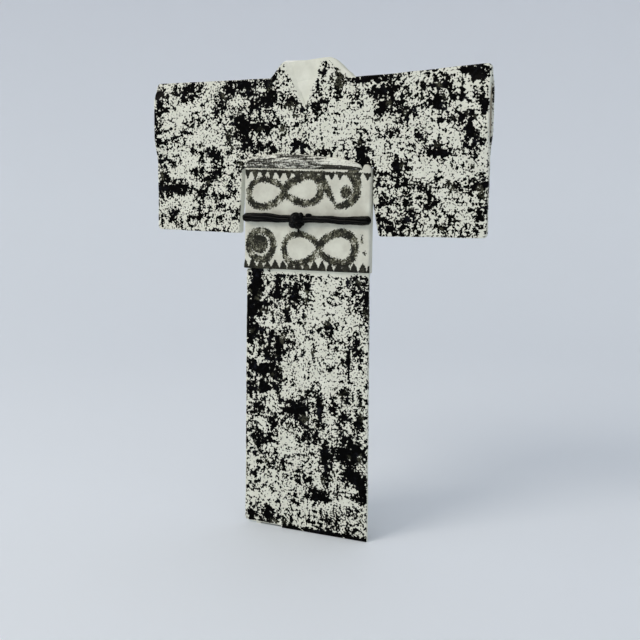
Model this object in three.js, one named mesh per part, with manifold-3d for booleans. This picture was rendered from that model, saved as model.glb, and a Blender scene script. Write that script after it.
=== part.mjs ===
// Ceramic kimono sculpture: a kimono built from slabs of clay, standing by its own weight.
// Millimetres, +Z up, the front of the kimono looks along -Y, and +X is to the viewer's right.
// Everything is drawn upright first, with the front face at y = 0 and the hem at z = 0. lean() then
// tips it back a little and cuts its foot level. The origin is the middle of its box's underside.
import * as THREE from "three";
import { mergeVertices } from "three/addons/utils/BufferGeometryUtils.js";
import Module from "manifold-3d";

// Whole sculpture
const HEIGHT = 420; // hem to the top of the collar, along the leaning front
const LEAN_DEG = 2; // the front leans back, so that the weight falls well inside the foot
const GAP = 0.3; // between one fired-on piece and the next

// Skirt and torso: one front slab, a little wider at the hem
const SLAB = 4; // thickness of the rolled clay
const SKIRT_HALF_HEM = 61.8;
const SKIRT_HALF_TOP = 60; // at the obi's lower edge
const SKIRT_TOP_Z = 237;
const TORSO_HALF = 59.3; // behind the obi, a little narrower
const OVERLAP_HEM_X = -23; // edge of the right front, which overlaps the left front
const OVERLAP_TOP_X = -33;
const OVERLAP_STEP = 0.8; // how far the left front lies behind the right front
const LEFT_HEM_LIFT = 1.6; // the left front stops this far above the floor
const HEM_CORNER = 3; // rounding of the hem's left corner
const EDGE_BEVEL = 0.7; // softened slab edges
const TORSO_RISE = 6; // the front slab runs this far up inside the shoulders

// Shoulders and sleeves: two layers of clay, folded over at the top
const SLIT_TOP_Z = 328; // where each sleeve's inner edge leaves the torso
const SHOULDER_HALF = 76; // the part between the sleeves, which runs into them
const SLEEVE = {
  bottom: 270, // lower edge
  depth: 8, // both layers together
  wall: 3, // one layer
  corner: 4, // rounded corners
  pinch: 1.4, // each layer's rounding at the closed lower part of the outer edge
  mouthLow: 341, // the outer edge is open from here
  mouthHigh: 402, // to here
  mouthDeep: 62, // how far the opening reaches into the sleeve
  slit: 0.35, // half the opening where the layers meet
  flarePower: 2.2, // how late the layers swing apart towards the mouth
};
const SIDES = [
  // outer edge, inner edge at the slit's top and at the bottom, top at neck and at the outer end,
  // lower edge at the outer end, and how far each layer swings out at the mouth
  {
    sign: -1,
    outer: 158,
    innerTop: 65.5,
    innerLow: 68.5,
    neckTop: 405.3,
    endTop: 406,
    endLow: 271.5,
    forward: 4.5,
    back: 4.5,
  },
  {
    sign: 1,
    outer: 160,
    innerTop: 62.4,
    innerLow: 67.2,
    neckTop: 403,
    endTop: 408.3,
    endLow: 270.2,
    forward: 2.5,
    back: 5,
  },
];

// Collar: outline above the shoulders, the open V and the bands inside it
const COLLAR_OUTLINE = [
  [41.5, 403],
  [38.7, 406.6],
  [34.9, 409],
  [30.2, 413.8],
  [25, 418],
  [20.5, HEIGHT + 0.4],
  [9, HEIGHT + 0.4],
  [-4, HEIGHT - 0.8],
  [-23, HEIGHT],
  [-27.4, 417],
  [-33, 410.6],
  [-37.5, 405.3],
];
const NECK = { leftX: -25, rightX: 13, tipX: -4.5, tipZ: 379.5, deep: 1.7 };
const INNER_BAND = { width: 4.6, proud: 0.9, below: 1.2 }; // the under-collar along the V's left edge
const COLLAR_SEAM = { x: 27.7, low: 376, high: 412, width: 1.1, deep: 0.6 };

// Hollow back of the skirt: a bowed slab behind the front, open at the foot, that carries it.
// It slopes up to meet the front just under the obi.
const BACK_WALL = 4.5;
const BACK_ROOT_Y = 3; // the wall springs from inside the front slab
const BACK_HALF = 51; // half width, inset from the skirt's edges
const BACK_TOP_Z = 235.5;
const BACK_BOW = 50; // how far it bows out behind at the hem
const BACK_SWELL = 0.82; // under 1, the slope is fuller than a straight one
const BACK_ROUND = 0.9; // under 1, its section is fuller than a half ellipse
const BACK_ROOT_DEEP = 0.6; // how far its root reaches into the front slab

// Obi: a slab wrapped round the torso, with one lump where its corner was folded
const OBI = {
  half: 61,
  front: 3.2, // how far its face stands before the kimono
  back: 2.2, // and behind it
  lowLeft: 238.4,
  lowRight: 238.2,
  highLeft: 326.6,
  highRight: 324.2,
  lumpFrom: 52.6,
  lumpHigh: 329,
  corner: 0.8, // cut off its corners
  joinX: -14, // where the band's end is laid over its start, behind
  joinWide: 46,
  joinProud: 1.6,
};

// Obi-age: the scarf's soft roll above the obi, bevelled at its left end
const OBI_AGE = {
  left: -60.5,
  leftTop: -50.5,
  right: 52,
  lowLeft: 326.9,
  lowRight: 324.6,
  highLeft: 340.6,
  highRight: 335.4,
  proud: 3.4,
  rim: 0.8, // how far its thin rims stand before the kimono
  rightFrom: 0.93, // from here its upper edge drops towards the right end
  rightDrop: 2.4,
};

// Obi-jime: a rolled cord of black clay with a knot, across the middle of the obi
const CORD = { radius: 3.3, left: -61.4, right: 62.4, leftZ: 283.6, rightZ: 282.8, pressed: 0.92 };
const KNOT = { x: -7, z: 281.3, halfWide: 7.5, halfHigh: 7.2, halfDeep: 5.4, pressed: 0.8 };
const KNOT_END = { radius: 1.7, aside: 0.6, below: 6.9, proud: 1.6 }; // the cord's end under the knot

const LEAN = THREE.MathUtils.degToRad(LEAN_DEG);
const wasm = await Module();
wasm.setup();

const clay = (name, color, roughness) =>
  new THREE.MeshStandardMaterial({ name, color, roughness, metalness: 0 });
const MOTTLED = clay("mottled glazed stoneware", 0xcdccc0, 0.55);
const PALE = clay("pale glazed stoneware", 0xd0cfc2, 0.6);
const BRUSHED = clay("brushed grey stoneware", 0x8d8c80, 0.6);
const BLACK = clay("black glazed stoneware", 0x101012, 0.3);

// A closed three.js geometry as a solid
function solid(geometry) {
  const bare = geometry.clone();
  bare.deleteAttribute("normal");
  bare.deleteAttribute("uv");
  const merged = mergeVertices(bare, 1e-4);
  const mesh = new wasm.Mesh({
    numProp: 3,
    vertProperties: merged.attributes.position.array,
    triVerts: new Uint32Array(merged.index.array),
  });
  return new wasm.Manifold(mesh);
}

function geometryOf(body) {
  const mesh = body.getMesh();
  const geometry = new THREE.BufferGeometry();
  geometry.setAttribute("position", new THREE.BufferAttribute(mesh.vertProperties, 3));
  geometry.setIndex(new THREE.BufferAttribute(mesh.triVerts, 1));
  const flat = geometry.toNonIndexed();
  flat.computeVertexNormals();
  return flat;
}

// A closed plate between two grids of points: before(u, v) faces -Y and behind(u, v) faces +Y
function plate(us, vs, before, behind) {
  const positions = [];
  for (const surface of [before, behind])
    for (const v of vs) for (const u of us) positions.push(...surface(u, v));
  const wide = us.length;
  const layer = wide * vs.length;
  const faces = [];
  const quad = (a, b, c, d) => faces.push(a, b, c, a, c, d);
  for (let j = 0; j + 1 < vs.length; j++)
    for (let i = 0; i + 1 < wide; i++) {
      const a = j * wide + i;
      quad(a, a + 1, a + 1 + wide, a + wide);
      quad(layer + a, layer + a + wide, layer + a + wide + 1, layer + a + 1);
    }
  const last = layer - wide;
  for (let i = 0; i + 1 < wide; i++) {
    quad(i, layer + i, layer + i + 1, i + 1);
    quad(last + i, last + i + 1, layer + last + i + 1, layer + last + i);
  }
  for (let j = 0; j + 1 < vs.length; j++) {
    const a = j * wide;
    const b = a + wide - 1;
    quad(a, a + wide, layer + a + wide, layer + a);
    quad(b, layer + b, layer + b + wide, b + wide);
  }
  const geometry = new THREE.BufferGeometry();
  geometry.setAttribute("position", new THREE.Float32BufferAttribute(positions, 3));
  geometry.setIndex(faces);
  return geometry;
}

// An outline in the front's plane (x, z), pushed back from y = from to y = to, with softened edges
function slab(points, from, to, bevel) {
  const shape = new THREE.Shape(points.map(([x, z]) => new THREE.Vector2(x, z)));
  const geometry = new THREE.ExtrudeGeometry(shape, {
    depth: to - from - 2 * bevel,
    bevelEnabled: bevel > 0,
    bevelThickness: bevel,
    bevelSize: bevel,
    bevelOffset: -bevel,
    bevelSegments: 1,
  });
  geometry.rotateX(Math.PI / 2); // the outline's up becomes +Z, and the push goes along -Y
  geometry.translate(0, to - bevel, 0);
  return solid(geometry);
}

function box(x0, x1, y0, y1, z0, z1) {
  const geometry = new THREE.BoxGeometry(x1 - x0, y1 - y0, z1 - z0);
  geometry.translate((x0 + x1) / 2, (y0 + y1) / 2, (z0 + z1) / 2);
  return solid(geometry);
}

const lerp = THREE.MathUtils.lerp;
const smoothstep = THREE.MathUtils.smoothstep;
const even = (from, to, count) =>
  Array.from({ length: count + 1 }, (_, i) => lerp(from, to, i / count));

// Skirt and torso
function frontSlab() {
  const outline = [
    [-SKIRT_HALF_HEM + HEM_CORNER, LEFT_HEM_LIFT],
    [OVERLAP_HEM_X, LEFT_HEM_LIFT],
    [OVERLAP_HEM_X, -SLAB],
    [SKIRT_HALF_HEM - 1, -SLAB],
    [SKIRT_HALF_HEM, 1],
    [SKIRT_HALF_TOP, SKIRT_TOP_Z],
    [TORSO_HALF, SKIRT_TOP_Z + 1],
    [TORSO_HALF, SLIT_TOP_Z + TORSO_RISE],
    [-TORSO_HALF, SLIT_TOP_Z + TORSO_RISE],
    [-TORSO_HALF, SKIRT_TOP_Z + 1],
    [-SKIRT_HALF_TOP, SKIRT_TOP_Z],
    [-SKIRT_HALF_HEM, HEM_CORNER + LEFT_HEM_LIFT],
  ];
  const seam = [
    [-SKIRT_HALF_HEM - 5, -5],
    [OVERLAP_HEM_X, -5],
    [OVERLAP_TOP_X, SKIRT_TOP_Z + 5],
    [-SKIRT_HALF_HEM - 5, SKIRT_TOP_Z + 5],
  ];
  const behindOverlap = slab(seam, -2, OVERLAP_STEP, 0);
  return slab(outline, 0, SLAB, EDGE_BEVEL).subtract(behindOverlap);
}

// Height of a sleeve's upper edge at a distance from the middle
function sleeveTop(side, x) {
  return lerp(side.neckTop, side.endTop, (x - side.innerTop) / (side.outer - side.innerTop));
}

// Shoulders and collar in one outline, both layers thick
function shoulders() {
  const outline = [
    [-SHOULDER_HALF, SLIT_TOP_Z],
    [SHOULDER_HALF, SLIT_TOP_Z],
    [SHOULDER_HALF, sleeveTop(SIDES[1], SHOULDER_HALF)],
    ...COLLAR_OUTLINE,
    [-SHOULDER_HALF, sleeveTop(SIDES[0], SHOULDER_HALF)],
  ];
  const tip = [NECK.tipX, NECK.tipZ];
  const above = HEIGHT + 3;
  const opening = [tip, [NECK.rightX, above], [NECK.leftX - 1.2, above]];
  const bandTip = [NECK.tipX + INNER_BAND.width * 0.2, NECK.tipZ + INNER_BAND.width * 0.5];
  const band = [
    tip,
    bandTip,
    [NECK.leftX + INNER_BAND.width, HEIGHT - INNER_BAND.below],
    [NECK.leftX + 0.8, HEIGHT - INNER_BAND.below],
  ];
  const { x, low, high, width, deep } = COLLAR_SEAM;
  return slab(outline, 0, SLEEVE.depth, EDGE_BEVEL)
    .subtract(slab(opening, -2, NECK.deep, 0))
    .add(slab(band, NECK.deep - INNER_BAND.proud, NECK.deep + 1, 0))
    .subtract(box(x - width / 2, x + width / 2, -2, deep, low, high));
}

// One sleeve: u runs from its inner edge (0) to its outer edge (1), v from its bottom to its top
function sleeve(side) {
  const { depth, wall, corner, pinch, bottom, mouthLow, mouthHigh, mouthDeep, slit } = SLEEVE;
  const lowAt = (u) => lerp(bottom - 0.6, side.endLow, u);
  const topAt = (u) => lerp(side.neckTop, side.endTop, u);
  const innerAt = (z) =>
    lerp(side.innerLow, side.innerTop, smoothstep(z, bottom, SLIT_TOP_Z + 4));
  // how far the mouth stands open at this height, from 0 to 1
  const openAt = (z) =>
    smoothstep(z, mouthLow - 8, mouthLow + 16) * (1 - smoothstep(z, mouthHigh - 14, mouthHigh + 3));
  const length = side.outer - side.innerLow;
  const flareFrom = 1 - mouthDeep / length;
  const flare = (u) => Math.max(0, (u - flareFrom) / (1 - flareFrom)) ** SLEEVE.flarePower;
  const closed = (u, z) => smoothstep(u, 0.93, 1) * (1 - openAt(z));

  // close together at the rims and round the mouth
  const columns = [0, 0.01, ...even(0.18, 0.54, 2), ...even(0.66, 0.9, 3), 0.945, 0.975, 0.99, 1];
  const rows = [0, 0.006, 0.03, 0.2, 0.4, ...even(0.48, 0.96, 12), 0.98, 0.994, 1];
  const point = (u, v, front) => {
    const low = lowAt(u);
    const top = topAt(u);
    const z = lerp(low, top, v);
    const fromEnd = Math.min(z - low, top - z, corner);
    const cut = corner - Math.sqrt(Math.max(0, corner ** 2 - (corner - fromEnd) ** 2));
    const inner = innerAt(z);
    const x = lerp(inner, side.outer - cut, u);
    const rim = v === 0 || v === 1 || u === 0 || u === 1 ? EDGE_BEVEL : 0;
    const swing = openAt(z) * flare(u);
    const squeeze = pinch * closed(u, z);
    const y = front
      ? rim + squeeze - side.forward * swing
      : depth - rim - squeeze + side.back * swing;
    return [side.sign * x, y, z];
  };
  // The hollow between the two layers, with its mouth in the outer edge
  const hollowColumns = even(0, 1, 8);
  const hollowRows = even(0, 1, 10);
  const hollowPoint = (u, v, front) => {
    const z = lerp(mouthLow, mouthHigh - 1.5, v);
    const reach = Math.sin(Math.PI * lerp(0.16, 0.84, v));
    const start = side.outer - mouthDeep * reach;
    const x = lerp(start, side.outer + 6, u);
    const along = Math.min(1, (x - side.innerLow) / length);
    const swing = openAt(z) * flare(along);
    const between = (depth + (side.forward + side.back) * swing) / 2 - wall - slit;
    const half = slit + Math.max(0, between) * Math.sin(Math.PI * lerp(0.1, 0.9, v));
    const middle = depth / 2 + ((side.back - side.forward) * swing) / 2;
    return [side.sign * x, front ? middle - half : middle + half, z];
  };
  const turned = side.sign < 0;
  const build = (us, vs, at) => {
    const before = (u, v) => at(turned ? 1 - u : u, v, true);
    const behind = (u, v) => at(turned ? 1 - u : u, v, false);
    const list = turned ? us.map((u) => 1 - u).reverse() : us;
    return solid(plate(list, vs, before, behind));
  };
  return build(columns, rows, point).subtract(build(hollowColumns, hollowRows, hollowPoint));
}

// The bowed back as a full solid, grown outwards (or inwards, if grow is negative)
function backSolid(grow, low, high) {
  const bowAt = (z) => BACK_BOW * Math.max(0, 1 - z / BACK_TOP_Z) ** BACK_SWELL;
  const surface = (u, v) => {
    const z = lerp(low, high, v);
    const angle = Math.PI * (1 - u);
    const x = (BACK_HALF + grow) * Math.cos(angle);
    const y = BACK_ROOT_Y + Math.max(0.2, bowAt(z) + grow) * Math.sin(angle) ** BACK_ROUND;
    return [x, y, z];
  };
  const root = (u, v) => {
    const [x, , z] = surface(u, v);
    return [x, BACK_ROOT_Y - BACK_ROOT_DEEP, z];
  };
  const rows = even(0, 1, 18).map((v) => 1 - (1 - v) ** 1.5); // closer together towards the top
  return solid(plate(even(0, 1, 24), rows, root, surface));
}

function kimono() {
  const low = -6;
  const hollow = backSolid(-BACK_WALL, low - 4, BACK_TOP_Z - 12);
  const back = backSolid(0, low, BACK_TOP_Z).subtract(hollow);
  let body = frontSlab().add(shoulders()).add(back);
  for (const side of SIDES) body = body.add(sleeve(side));
  return body;
}

// The band goes right round the torso, and its end is laid over its start behind
function obi() {
  const { half, front, back, lowLeft, lowRight, highLeft, highRight, corner, joinX, joinWide } = OBI;
  const outline = [
    [-half + corner, lowLeft],
    [half - corner, lowRight],
    [half, lowRight + corner],
    [half - 0.4, highRight + 3],
    [half - 1.6, OBI.lumpHigh - 0.5],
    [half - 4.5, OBI.lumpHigh],
    [OBI.lumpFrom + 1, OBI.lumpHigh - 1.2],
    [OBI.lumpFrom, highRight],
    [-half + corner, highLeft],
    [-half, highLeft - corner],
    [-half, lowLeft + corner],
  ];
  const low = Math.max(lowLeft, lowRight);
  const high = SLIT_TOP_Z - 1.5;
  const inset = 0.3; // the rear half is a little narrower than the front
  const rear = [
    [-half + inset, low],
    [half - inset, low],
    [half - inset, high],
    [-half + inset, high],
  ];
  const end = [
    [joinX, low + 0.6],
    [joinX + joinWide, low + 0.4],
    [joinX + joinWide, high - 0.8],
    [joinX, high - 0.5],
  ];
  const behind = SLAB + GAP + back;
  const around = TORSO_HALF + GAP;
  const torso = box(-around, around, -GAP, SLAB + GAP, SKIRT_TOP_Z - 30, SLIT_TOP_Z + 9);
  const shoulder = box(-SHOULDER_HALF, SHOULDER_HALF, -GAP, 30, SLIT_TOP_Z - GAP, HEIGHT);
  return slab(outline, -front, SLAB - 0.6, EDGE_BEVEL)
    .add(slab(rear, 0.6, behind, EDGE_BEVEL))
    .add(slab(end, SLAB + 1, behind + OBI.joinProud, EDGE_BEVEL))
    .subtract(torso)
    .subtract(shoulder);
}

// The roll is thick along its middle and thin at its rims
function obiAge() {
  const { left, leftTop, right, lowLeft, lowRight, highLeft, highRight, proud, rim } = OBI_AGE;
  const before = (u, v) => {
    const x = lerp(lerp(left, leftTop, v), right, u);
    const low = lerp(lowLeft, lowRight, u);
    const drop = OBI_AGE.rightDrop * smoothstep(u, OBI_AGE.rightFrom, 1);
    const high = lerp(highLeft, highRight, u) - drop;
    const ends = Math.min(1, Math.sqrt(Math.min(u, 1 - u) * 22 + 0.06));
    const round = Math.sqrt(Math.max(0, 1 - (2 * v - 0.7) ** 2 / 1.75));
    return [x, -rim - (proud - rim) * round * ends, lerp(low, high, v)];
  };
  const behind = (u, v) => {
    const [x, , z] = before(u, v);
    return [x, -GAP, z];
  };
  return solid(plate(even(0, 1, 18), even(0, 1, 8), before, behind));
}

// Height of the cord's middle at any place along it: it drops a little under the knot
function cordZ(x) {
  const drop = smoothstep(x, KNOT.x - 4, KNOT.x + 6);
  const wave = 0.35 * Math.sin(x * 0.11) + 0.2 * Math.sin(x * 0.31);
  return lerp(CORD.leftZ, CORD.rightZ, drop) + wave;
}

function obiJime() {
  const { radius, left, right } = CORD;
  const faceY = -OBI.front - GAP;
  const centreY = faceY - radius * CORD.pressed;
  const sides = 12;
  const rounds = [0.12, 0.3, 0.6, 1].map((t) => (t * Math.PI) / 2); // the two rounded ends
  const endOf = (x, inward) =>
    rounds.map((t) => ({ x: x + inward * radius * (1 - Math.cos(t)), r: radius * Math.sin(t) }));
  const along = even(left + radius, right - radius, 26).slice(1, -1);
  const stations = [
    ...endOf(left, 1),
    ...along.map((x) => ({ x, r: radius })),
    ...endOf(right, -1).reverse(),
  ];
  const positions = [];
  const faces = [];
  for (const { x, r } of stations)
    for (let k = 0; k < sides; k++) {
      const turn = (2 * Math.PI * k) / sides;
      positions.push(x, centreY - r * Math.cos(turn), cordZ(x) + r * Math.sin(turn));
    }
  const last = (stations.length - 1) * sides;
  const tips = stations.length * sides;
  positions.push(left, centreY, cordZ(left), right, centreY, cordZ(right));
  for (let k = 0; k < sides; k++) {
    const next = (k + 1) % sides;
    for (let a = 0; a < last; a += sides)
      faces.push(a + k, a + sides + k, a + next, a + next, a + sides + k, a + sides + next);
    faces.push(tips, k, next, tips + 1, last + next, last + k);
  }
  const tube = new THREE.BufferGeometry();
  tube.setAttribute("position", new THREE.Float32BufferAttribute(positions, 3));
  tube.setIndex(faces);
  const knot = new THREE.SphereGeometry(1, 20, 14);
  knot.scale(KNOT.halfWide, KNOT.halfDeep, KNOT.halfHigh);
  knot.translate(KNOT.x, faceY - KNOT.halfDeep * KNOT.pressed, KNOT.z);
  const end = new THREE.SphereGeometry(KNOT_END.radius, 10, 8);
  end.translate(KNOT.x + KNOT_END.aside, faceY - KNOT_END.proud, KNOT.z - KNOT_END.below);
  const behindFace = box(-80, 80, faceY, 40, OBI.lowLeft, OBI.highLeft);
  return solid(tube).add(solid(knot)).add(solid(end)).subtract(behindFace);
}

// Leans the upright drawing back about the hem's front line and cuts its foot level
function lean(body) {
  const leaning = geometryOf(body);
  leaning.rotateX(-LEAN);
  const floor = box(-300, 300, -300, 300, -100, 0);
  return solid(leaning).subtract(floor);
}

const pieces = [
  { name: "kimono", body: lean(kimono()), material: MOTTLED },
  { name: "obi", body: lean(obi()), material: PALE },
  { name: "obi_age", body: lean(obiAge()), material: BRUSHED },
  { name: "obi_jime", body: lean(obiJime()), material: BLACK },
];

const whole = new THREE.Box3();
const meshes = pieces.map(({ name, body, material }) => {
  const mesh = new THREE.Mesh(geometryOf(body), material);
  mesh.name = name;
  mesh.geometry.computeBoundingBox();
  whole.union(mesh.geometry.boundingBox);
  return mesh;
});

const sculpture = new THREE.Group();
const middle = whole.getCenter(new THREE.Vector3());
sculpture.position.set(-middle.x, -middle.y, -whole.min.z);
for (const mesh of meshes) sculpture.add(mesh);

export default sculpture;
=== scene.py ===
"""Ceramic kimono sculpture: the fired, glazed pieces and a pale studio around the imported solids.

Lengths in the functions are millimetres in the drawing's own frame, in which the sculpture stands upright:
x to the viewer's right, y away from the viewer with the front face at 0, z up from the hem. settle() leans
the drawing back, puts it on the floor where the solids stand, and turns it to metres.
"""

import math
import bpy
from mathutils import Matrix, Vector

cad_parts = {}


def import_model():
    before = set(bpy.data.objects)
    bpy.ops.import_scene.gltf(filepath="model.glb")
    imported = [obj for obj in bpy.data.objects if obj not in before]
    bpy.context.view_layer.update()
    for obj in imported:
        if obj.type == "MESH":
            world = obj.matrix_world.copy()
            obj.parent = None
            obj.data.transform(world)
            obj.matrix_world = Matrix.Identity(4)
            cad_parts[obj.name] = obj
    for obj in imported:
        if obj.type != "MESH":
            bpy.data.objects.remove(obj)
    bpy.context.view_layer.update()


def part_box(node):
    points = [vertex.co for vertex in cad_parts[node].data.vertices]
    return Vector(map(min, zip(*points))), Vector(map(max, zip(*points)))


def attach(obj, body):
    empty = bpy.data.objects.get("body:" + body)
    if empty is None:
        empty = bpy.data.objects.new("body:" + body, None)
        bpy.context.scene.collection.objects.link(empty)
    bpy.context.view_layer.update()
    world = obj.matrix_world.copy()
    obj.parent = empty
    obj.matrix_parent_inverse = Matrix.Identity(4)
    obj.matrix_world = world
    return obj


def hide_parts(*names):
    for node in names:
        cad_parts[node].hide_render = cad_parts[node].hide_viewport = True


bl_info = {
    "name": "Ceramic kimono sculpture",
    "version": (1, 0, 0),
    "blender": (4, 5, 0),
    "location": "3D View > Sidebar > Kimono",
    "description": "Builds a slab-built ceramic kimono with its obi, roll and knotted cord",
    "category": "Object",
}

from collections import namedtuple

import bpy
import numpy as np
from mathutils import Matrix, Vector
from mathutils.geometry import delaunay_2d_cdt

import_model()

# The solids' own sizes, which the glazed pieces keep to
HEIGHT = 420.0
SLAB = 4.0
SLEEVE_DEPTH = 8.0
HEM_HALF = 61.8
SKIRT_HALF = 60.0
SKIRT_TOP = 237.0
TORSO_HALF = 59.3
SLIT_TOP = 327.8
MOUTH_LOW = 341.0
MOUTH_HIGH = 402.0
MOUTH_DEEP = 62.0
# The sleeves: side, outer edge, inner edge at the slit's top and at its bottom, the heights between which
# the slit opens, upper and lower edge at the end, and how far the front and back layers swing out at the
# mouth
Sleeve = namedtuple("Sleeve", "sign outer inner_high inner_low slit end_high end_low forward backward")
SIDES = (
    Sleeve(-1, 158.0, 65.5, 68.5, (270.0, 332.0), 406.0, 271.5, 4.5, 4.5),
    Sleeve(1, 160.0, 61.0, 67.2, (262.0, 306.0), 408.3, 270.2, 2.5, 5.0),
)
SLEEVE_WALL = 3.35
# The collar's outline, from its right side round to its left one: x, z
COLLAR = (
    (41.5, 403.0), (38.7, 406.6), (34.9, 409.0), (30.2, 413.8), (25.0, 418.0), (20.5, 420.4),
    (9.0, 420.4), (-4.0, 419.2), (-23.0, 420.0), (-27.4, 417.0), (-33.0, 410.6), (-37.5, 405.3),
)
# The open V's tip and the tops of its edges, the edge of the band in it, the crease across the clay behind
# it, and the seam down the collar's right side
NECK_TIP = (-4.5, 379.5)
NECK_LEFT = (-26.2, 423.0)
NECK_RIGHT = (13.0, 423.0)
BAND_START = (NECK_TIP[0] + 0.9, NECK_TIP[1] + 2.3)
BAND_END = (-20.6, 421.0)
CREASE = ((-13.2, 401.4), (4.6, 402.6))
SEAM_X = 27.7
SEAM_LOW = 374.0
SEAM_HIGH = 413.0
# The hollow back: half width, height, start behind the front, wall, and how its bow swells and rounds
BACK_HALF = 51.0
BACK_TOP = 235.5
BACK_ROOT = 3.0
BACK_WALL = 4.5
BACK_SWELL = 0.82
BACK_ROUND = 0.9
OBI_HALF = 60.7
OBI_FRONT = 3.2
OBI_REAR = 6.3
OBI_LOW = (238.4, 238.0)
OBI_HIGH = (327.6, 325.0)
GAP = 0.3


class KimonoSizes(bpy.types.PropertyGroup):
    """Sizes of the clay, and how far it leans"""

    lean: bpy.props.FloatProperty(
        name="Lean",
        description="How far the sculpture leans back",
        default=math.radians(2.0),
        subtype="ANGLE",
    )
    edge: bpy.props.FloatProperty(
        name="Slab edge",
        description="Rounding of the slabs' sponged edges, in millimetres",
        default=1.0,
        min=0.3,
    )
    uneven: bpy.props.FloatProperty(
        name="Unevenness", description="How far the slabs' faces swell and dip, in millimetres", default=0.35
    )
    hand_cut: bpy.props.FloatProperty(
        name="Hand cut", description="How far the cut edges wander, in millimetres", default=0.3
    )
    overlap: bpy.props.FloatProperty(
        name="Overlap",
        description="Step where the right front lies over the left one, in millimetres",
        default=0.8,
    )
    bow: bpy.props.FloatProperty(
        name="Bow", description="How far the hollow back bows out at the hem, in millimetres", default=50.0
    )
    cord_radius: bpy.props.FloatProperty(
        name="Cord radius", description="Radius of the rolled cord, in millimetres", default=3.3
    )
    cord_strands: bpy.props.IntProperty(
        name="Cord strands",
        description="Strands of clay laid side by side in the cord",
        default=5,
        min=2,
        max=9,
    )
    cord_twist: bpy.props.FloatProperty(
        name="Cord twist",
        description="Turn of the strands from end to end",
        default=math.radians(150),
        subtype="ANGLE",
    )


def hex_property(name, default):
    """A property that holds one colour"""
    return bpy.props.StringProperty(name=name, description="sRGB hex", default=default)


class GlazeColours(bpy.types.PropertyGroup):
    """Colours of the glazes, and how thickly the black lies"""

    white: hex_property("White glaze", "e6e7da")
    white_thin: hex_property("White glaze, thin", "d6d7c9")
    # A brighter white along the collar's top edge: a painted highlight
    rim: hex_property("White glaze, thick on the collar's rim", "fafaf4")
    obi_white: hex_property("Obi's white glaze", "dcddcf")
    obi_white_thin: hex_property("Obi's white glaze, thin", "c3c2b4")
    black: hex_property("Black glaze", "020202")
    thin_black: hex_property("Thin black", "25241c")
    # Blue-grey painted sheen on the black glaze, a reflection painted into its colour
    painted_sheen: hex_property("Bloom on thick black", "262832")
    worn: hex_property("Nearly dry black", "4b4b3e")
    brush_dark: hex_property("Brushed, dark", "1a1a12")
    brush_light: hex_property("Brushed, light", "7b7a66")
    # Dragged black on the roll, also the colour of the painted shade along its lower edge
    dragged_black_and_shade: hex_property("Dragged along the roll", "25251c")
    pooled: hex_property("Pooled on the cord", "060606")
    bare: hex_property("Bare clay", "c2b9a6")
    cover: bpy.props.FloatProperty(
        name="Cover", description="Adds to the black glaze's cover all over", default=0.0, min=-1, max=1
    )


class StudioLook(bpy.types.PropertyGroup):
    """The pale sweep and its light"""

    sweep: hex_property("Sweep, floor", "ecf2f8")
    # The board's colour a metre up, darker as painted shade
    sweep_shaded_top: hex_property("Sweep, a metre up", "dce1e9")
    key: bpy.props.FloatProperty(
        name="Key light", description="Power of the large front light", default=34.5, unit="POWER"
    )
    key_tint: hex_property("Key light's colour", "fff6ea")
    sky: bpy.props.FloatProperty(
        name="Fill", description="Strength of the even light from all round", default=0.68
    )
    sky_tint: hex_property("Fill's colour", "f3f4f6")


def colour(hex_code):
    """An sRGB hex value as linear RGBA"""
    parts = [int(hex_code[i : i + 2], 16) / 255 for i in (0, 2, 4)]
    return tuple(c / 12.92 if c <= 0.04045 else ((c + 0.055) / 1.055) ** 2.4 for c in parts) + (1.0,)


def lerp(a, b, t):
    """A straight blend from a to b"""
    return a + (b - a) * t


def smooth(value, low, high):
    """Rises from 0 to 1 between low and high, level at both"""
    t = np.clip((value - low) / (high - low), 0.0, 1.0)
    return t * t * (3 - 2 * t)


def swell(x, z, length, seed):
    """Gentle hand-made unevenness between -1 and 1, in bumps about this many millimetres long"""
    total = 0.0
    for k in range(4):
        angle = 1.3 + 2.4 * k + 0.7 * seed
        rate = 2 * math.pi / (length * (1 + 0.27 * k))
        total = total + np.sin(rate * (x * math.cos(angle) + z * math.sin(angle)) + seed * (k + 1.7))
    return total / 4


def place():
    """Where the upright drawing's origin stands: the solid's own hem and left sleeve give it"""
    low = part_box("kimono")[0]
    return low[0] * 1000 + SIDES[0].outer, low[1] * 1000


def lean_back(points, lean):
    """Upright millimetres to the sculpture's place in metres, also below the floor"""
    right, back = place()
    x, y, z = np.asarray(points, float).T
    c, s = math.cos(lean), math.sin(lean)
    return np.stack([x + right, y * c + z * s + back, z * c - y * s], 1) * 0.001


def settle(points, lean):
    """Upright millimetres to the sculpture's place in metres, with nothing below the floor"""
    placed = lean_back(points, lean)
    placed[:, 2] = np.maximum(placed[:, 2], 0.0)
    return placed


def upright(points, lean):
    """The sculpture's place in metres back to upright millimetres"""
    right, back = place()
    x, y, z = (np.asarray(points, float) * 1000).T
    x, y = x - right, y - back
    c, s = math.cos(lean), math.sin(lean)
    return x, y * c - z * s, y * s + z * c


def new_piece(name, points, faces, smooth_angle=34):
    """A mesh object from points in metres and lists of point numbers"""
    mesh = bpy.data.meshes.new(name)
    mesh.from_pydata([tuple(p) for p in points], [], [tuple(f) for f in faces])
    mesh.validate()
    mesh.shade_smooth()
    mesh.set_sharp_from_angle(angle=math.radians(smooth_angle))
    piece = bpy.data.objects.new(name, mesh)
    bpy.context.scene.collection.objects.link(piece)
    return piece


def evaluated_copy(piece):
    """Turns a piece's modifiers into a plain mesh"""
    depsgraph = bpy.context.evaluated_depsgraph_get()
    depsgraph.update()
    mesh = bpy.data.meshes.new_from_object(piece.evaluated_get(depsgraph))
    piece.modifiers.clear()
    old = piece.data
    piece.data = mesh
    mesh.name = piece.name
    if old.users == 0:
        bpy.data.meshes.remove(old)
    return piece


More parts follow.
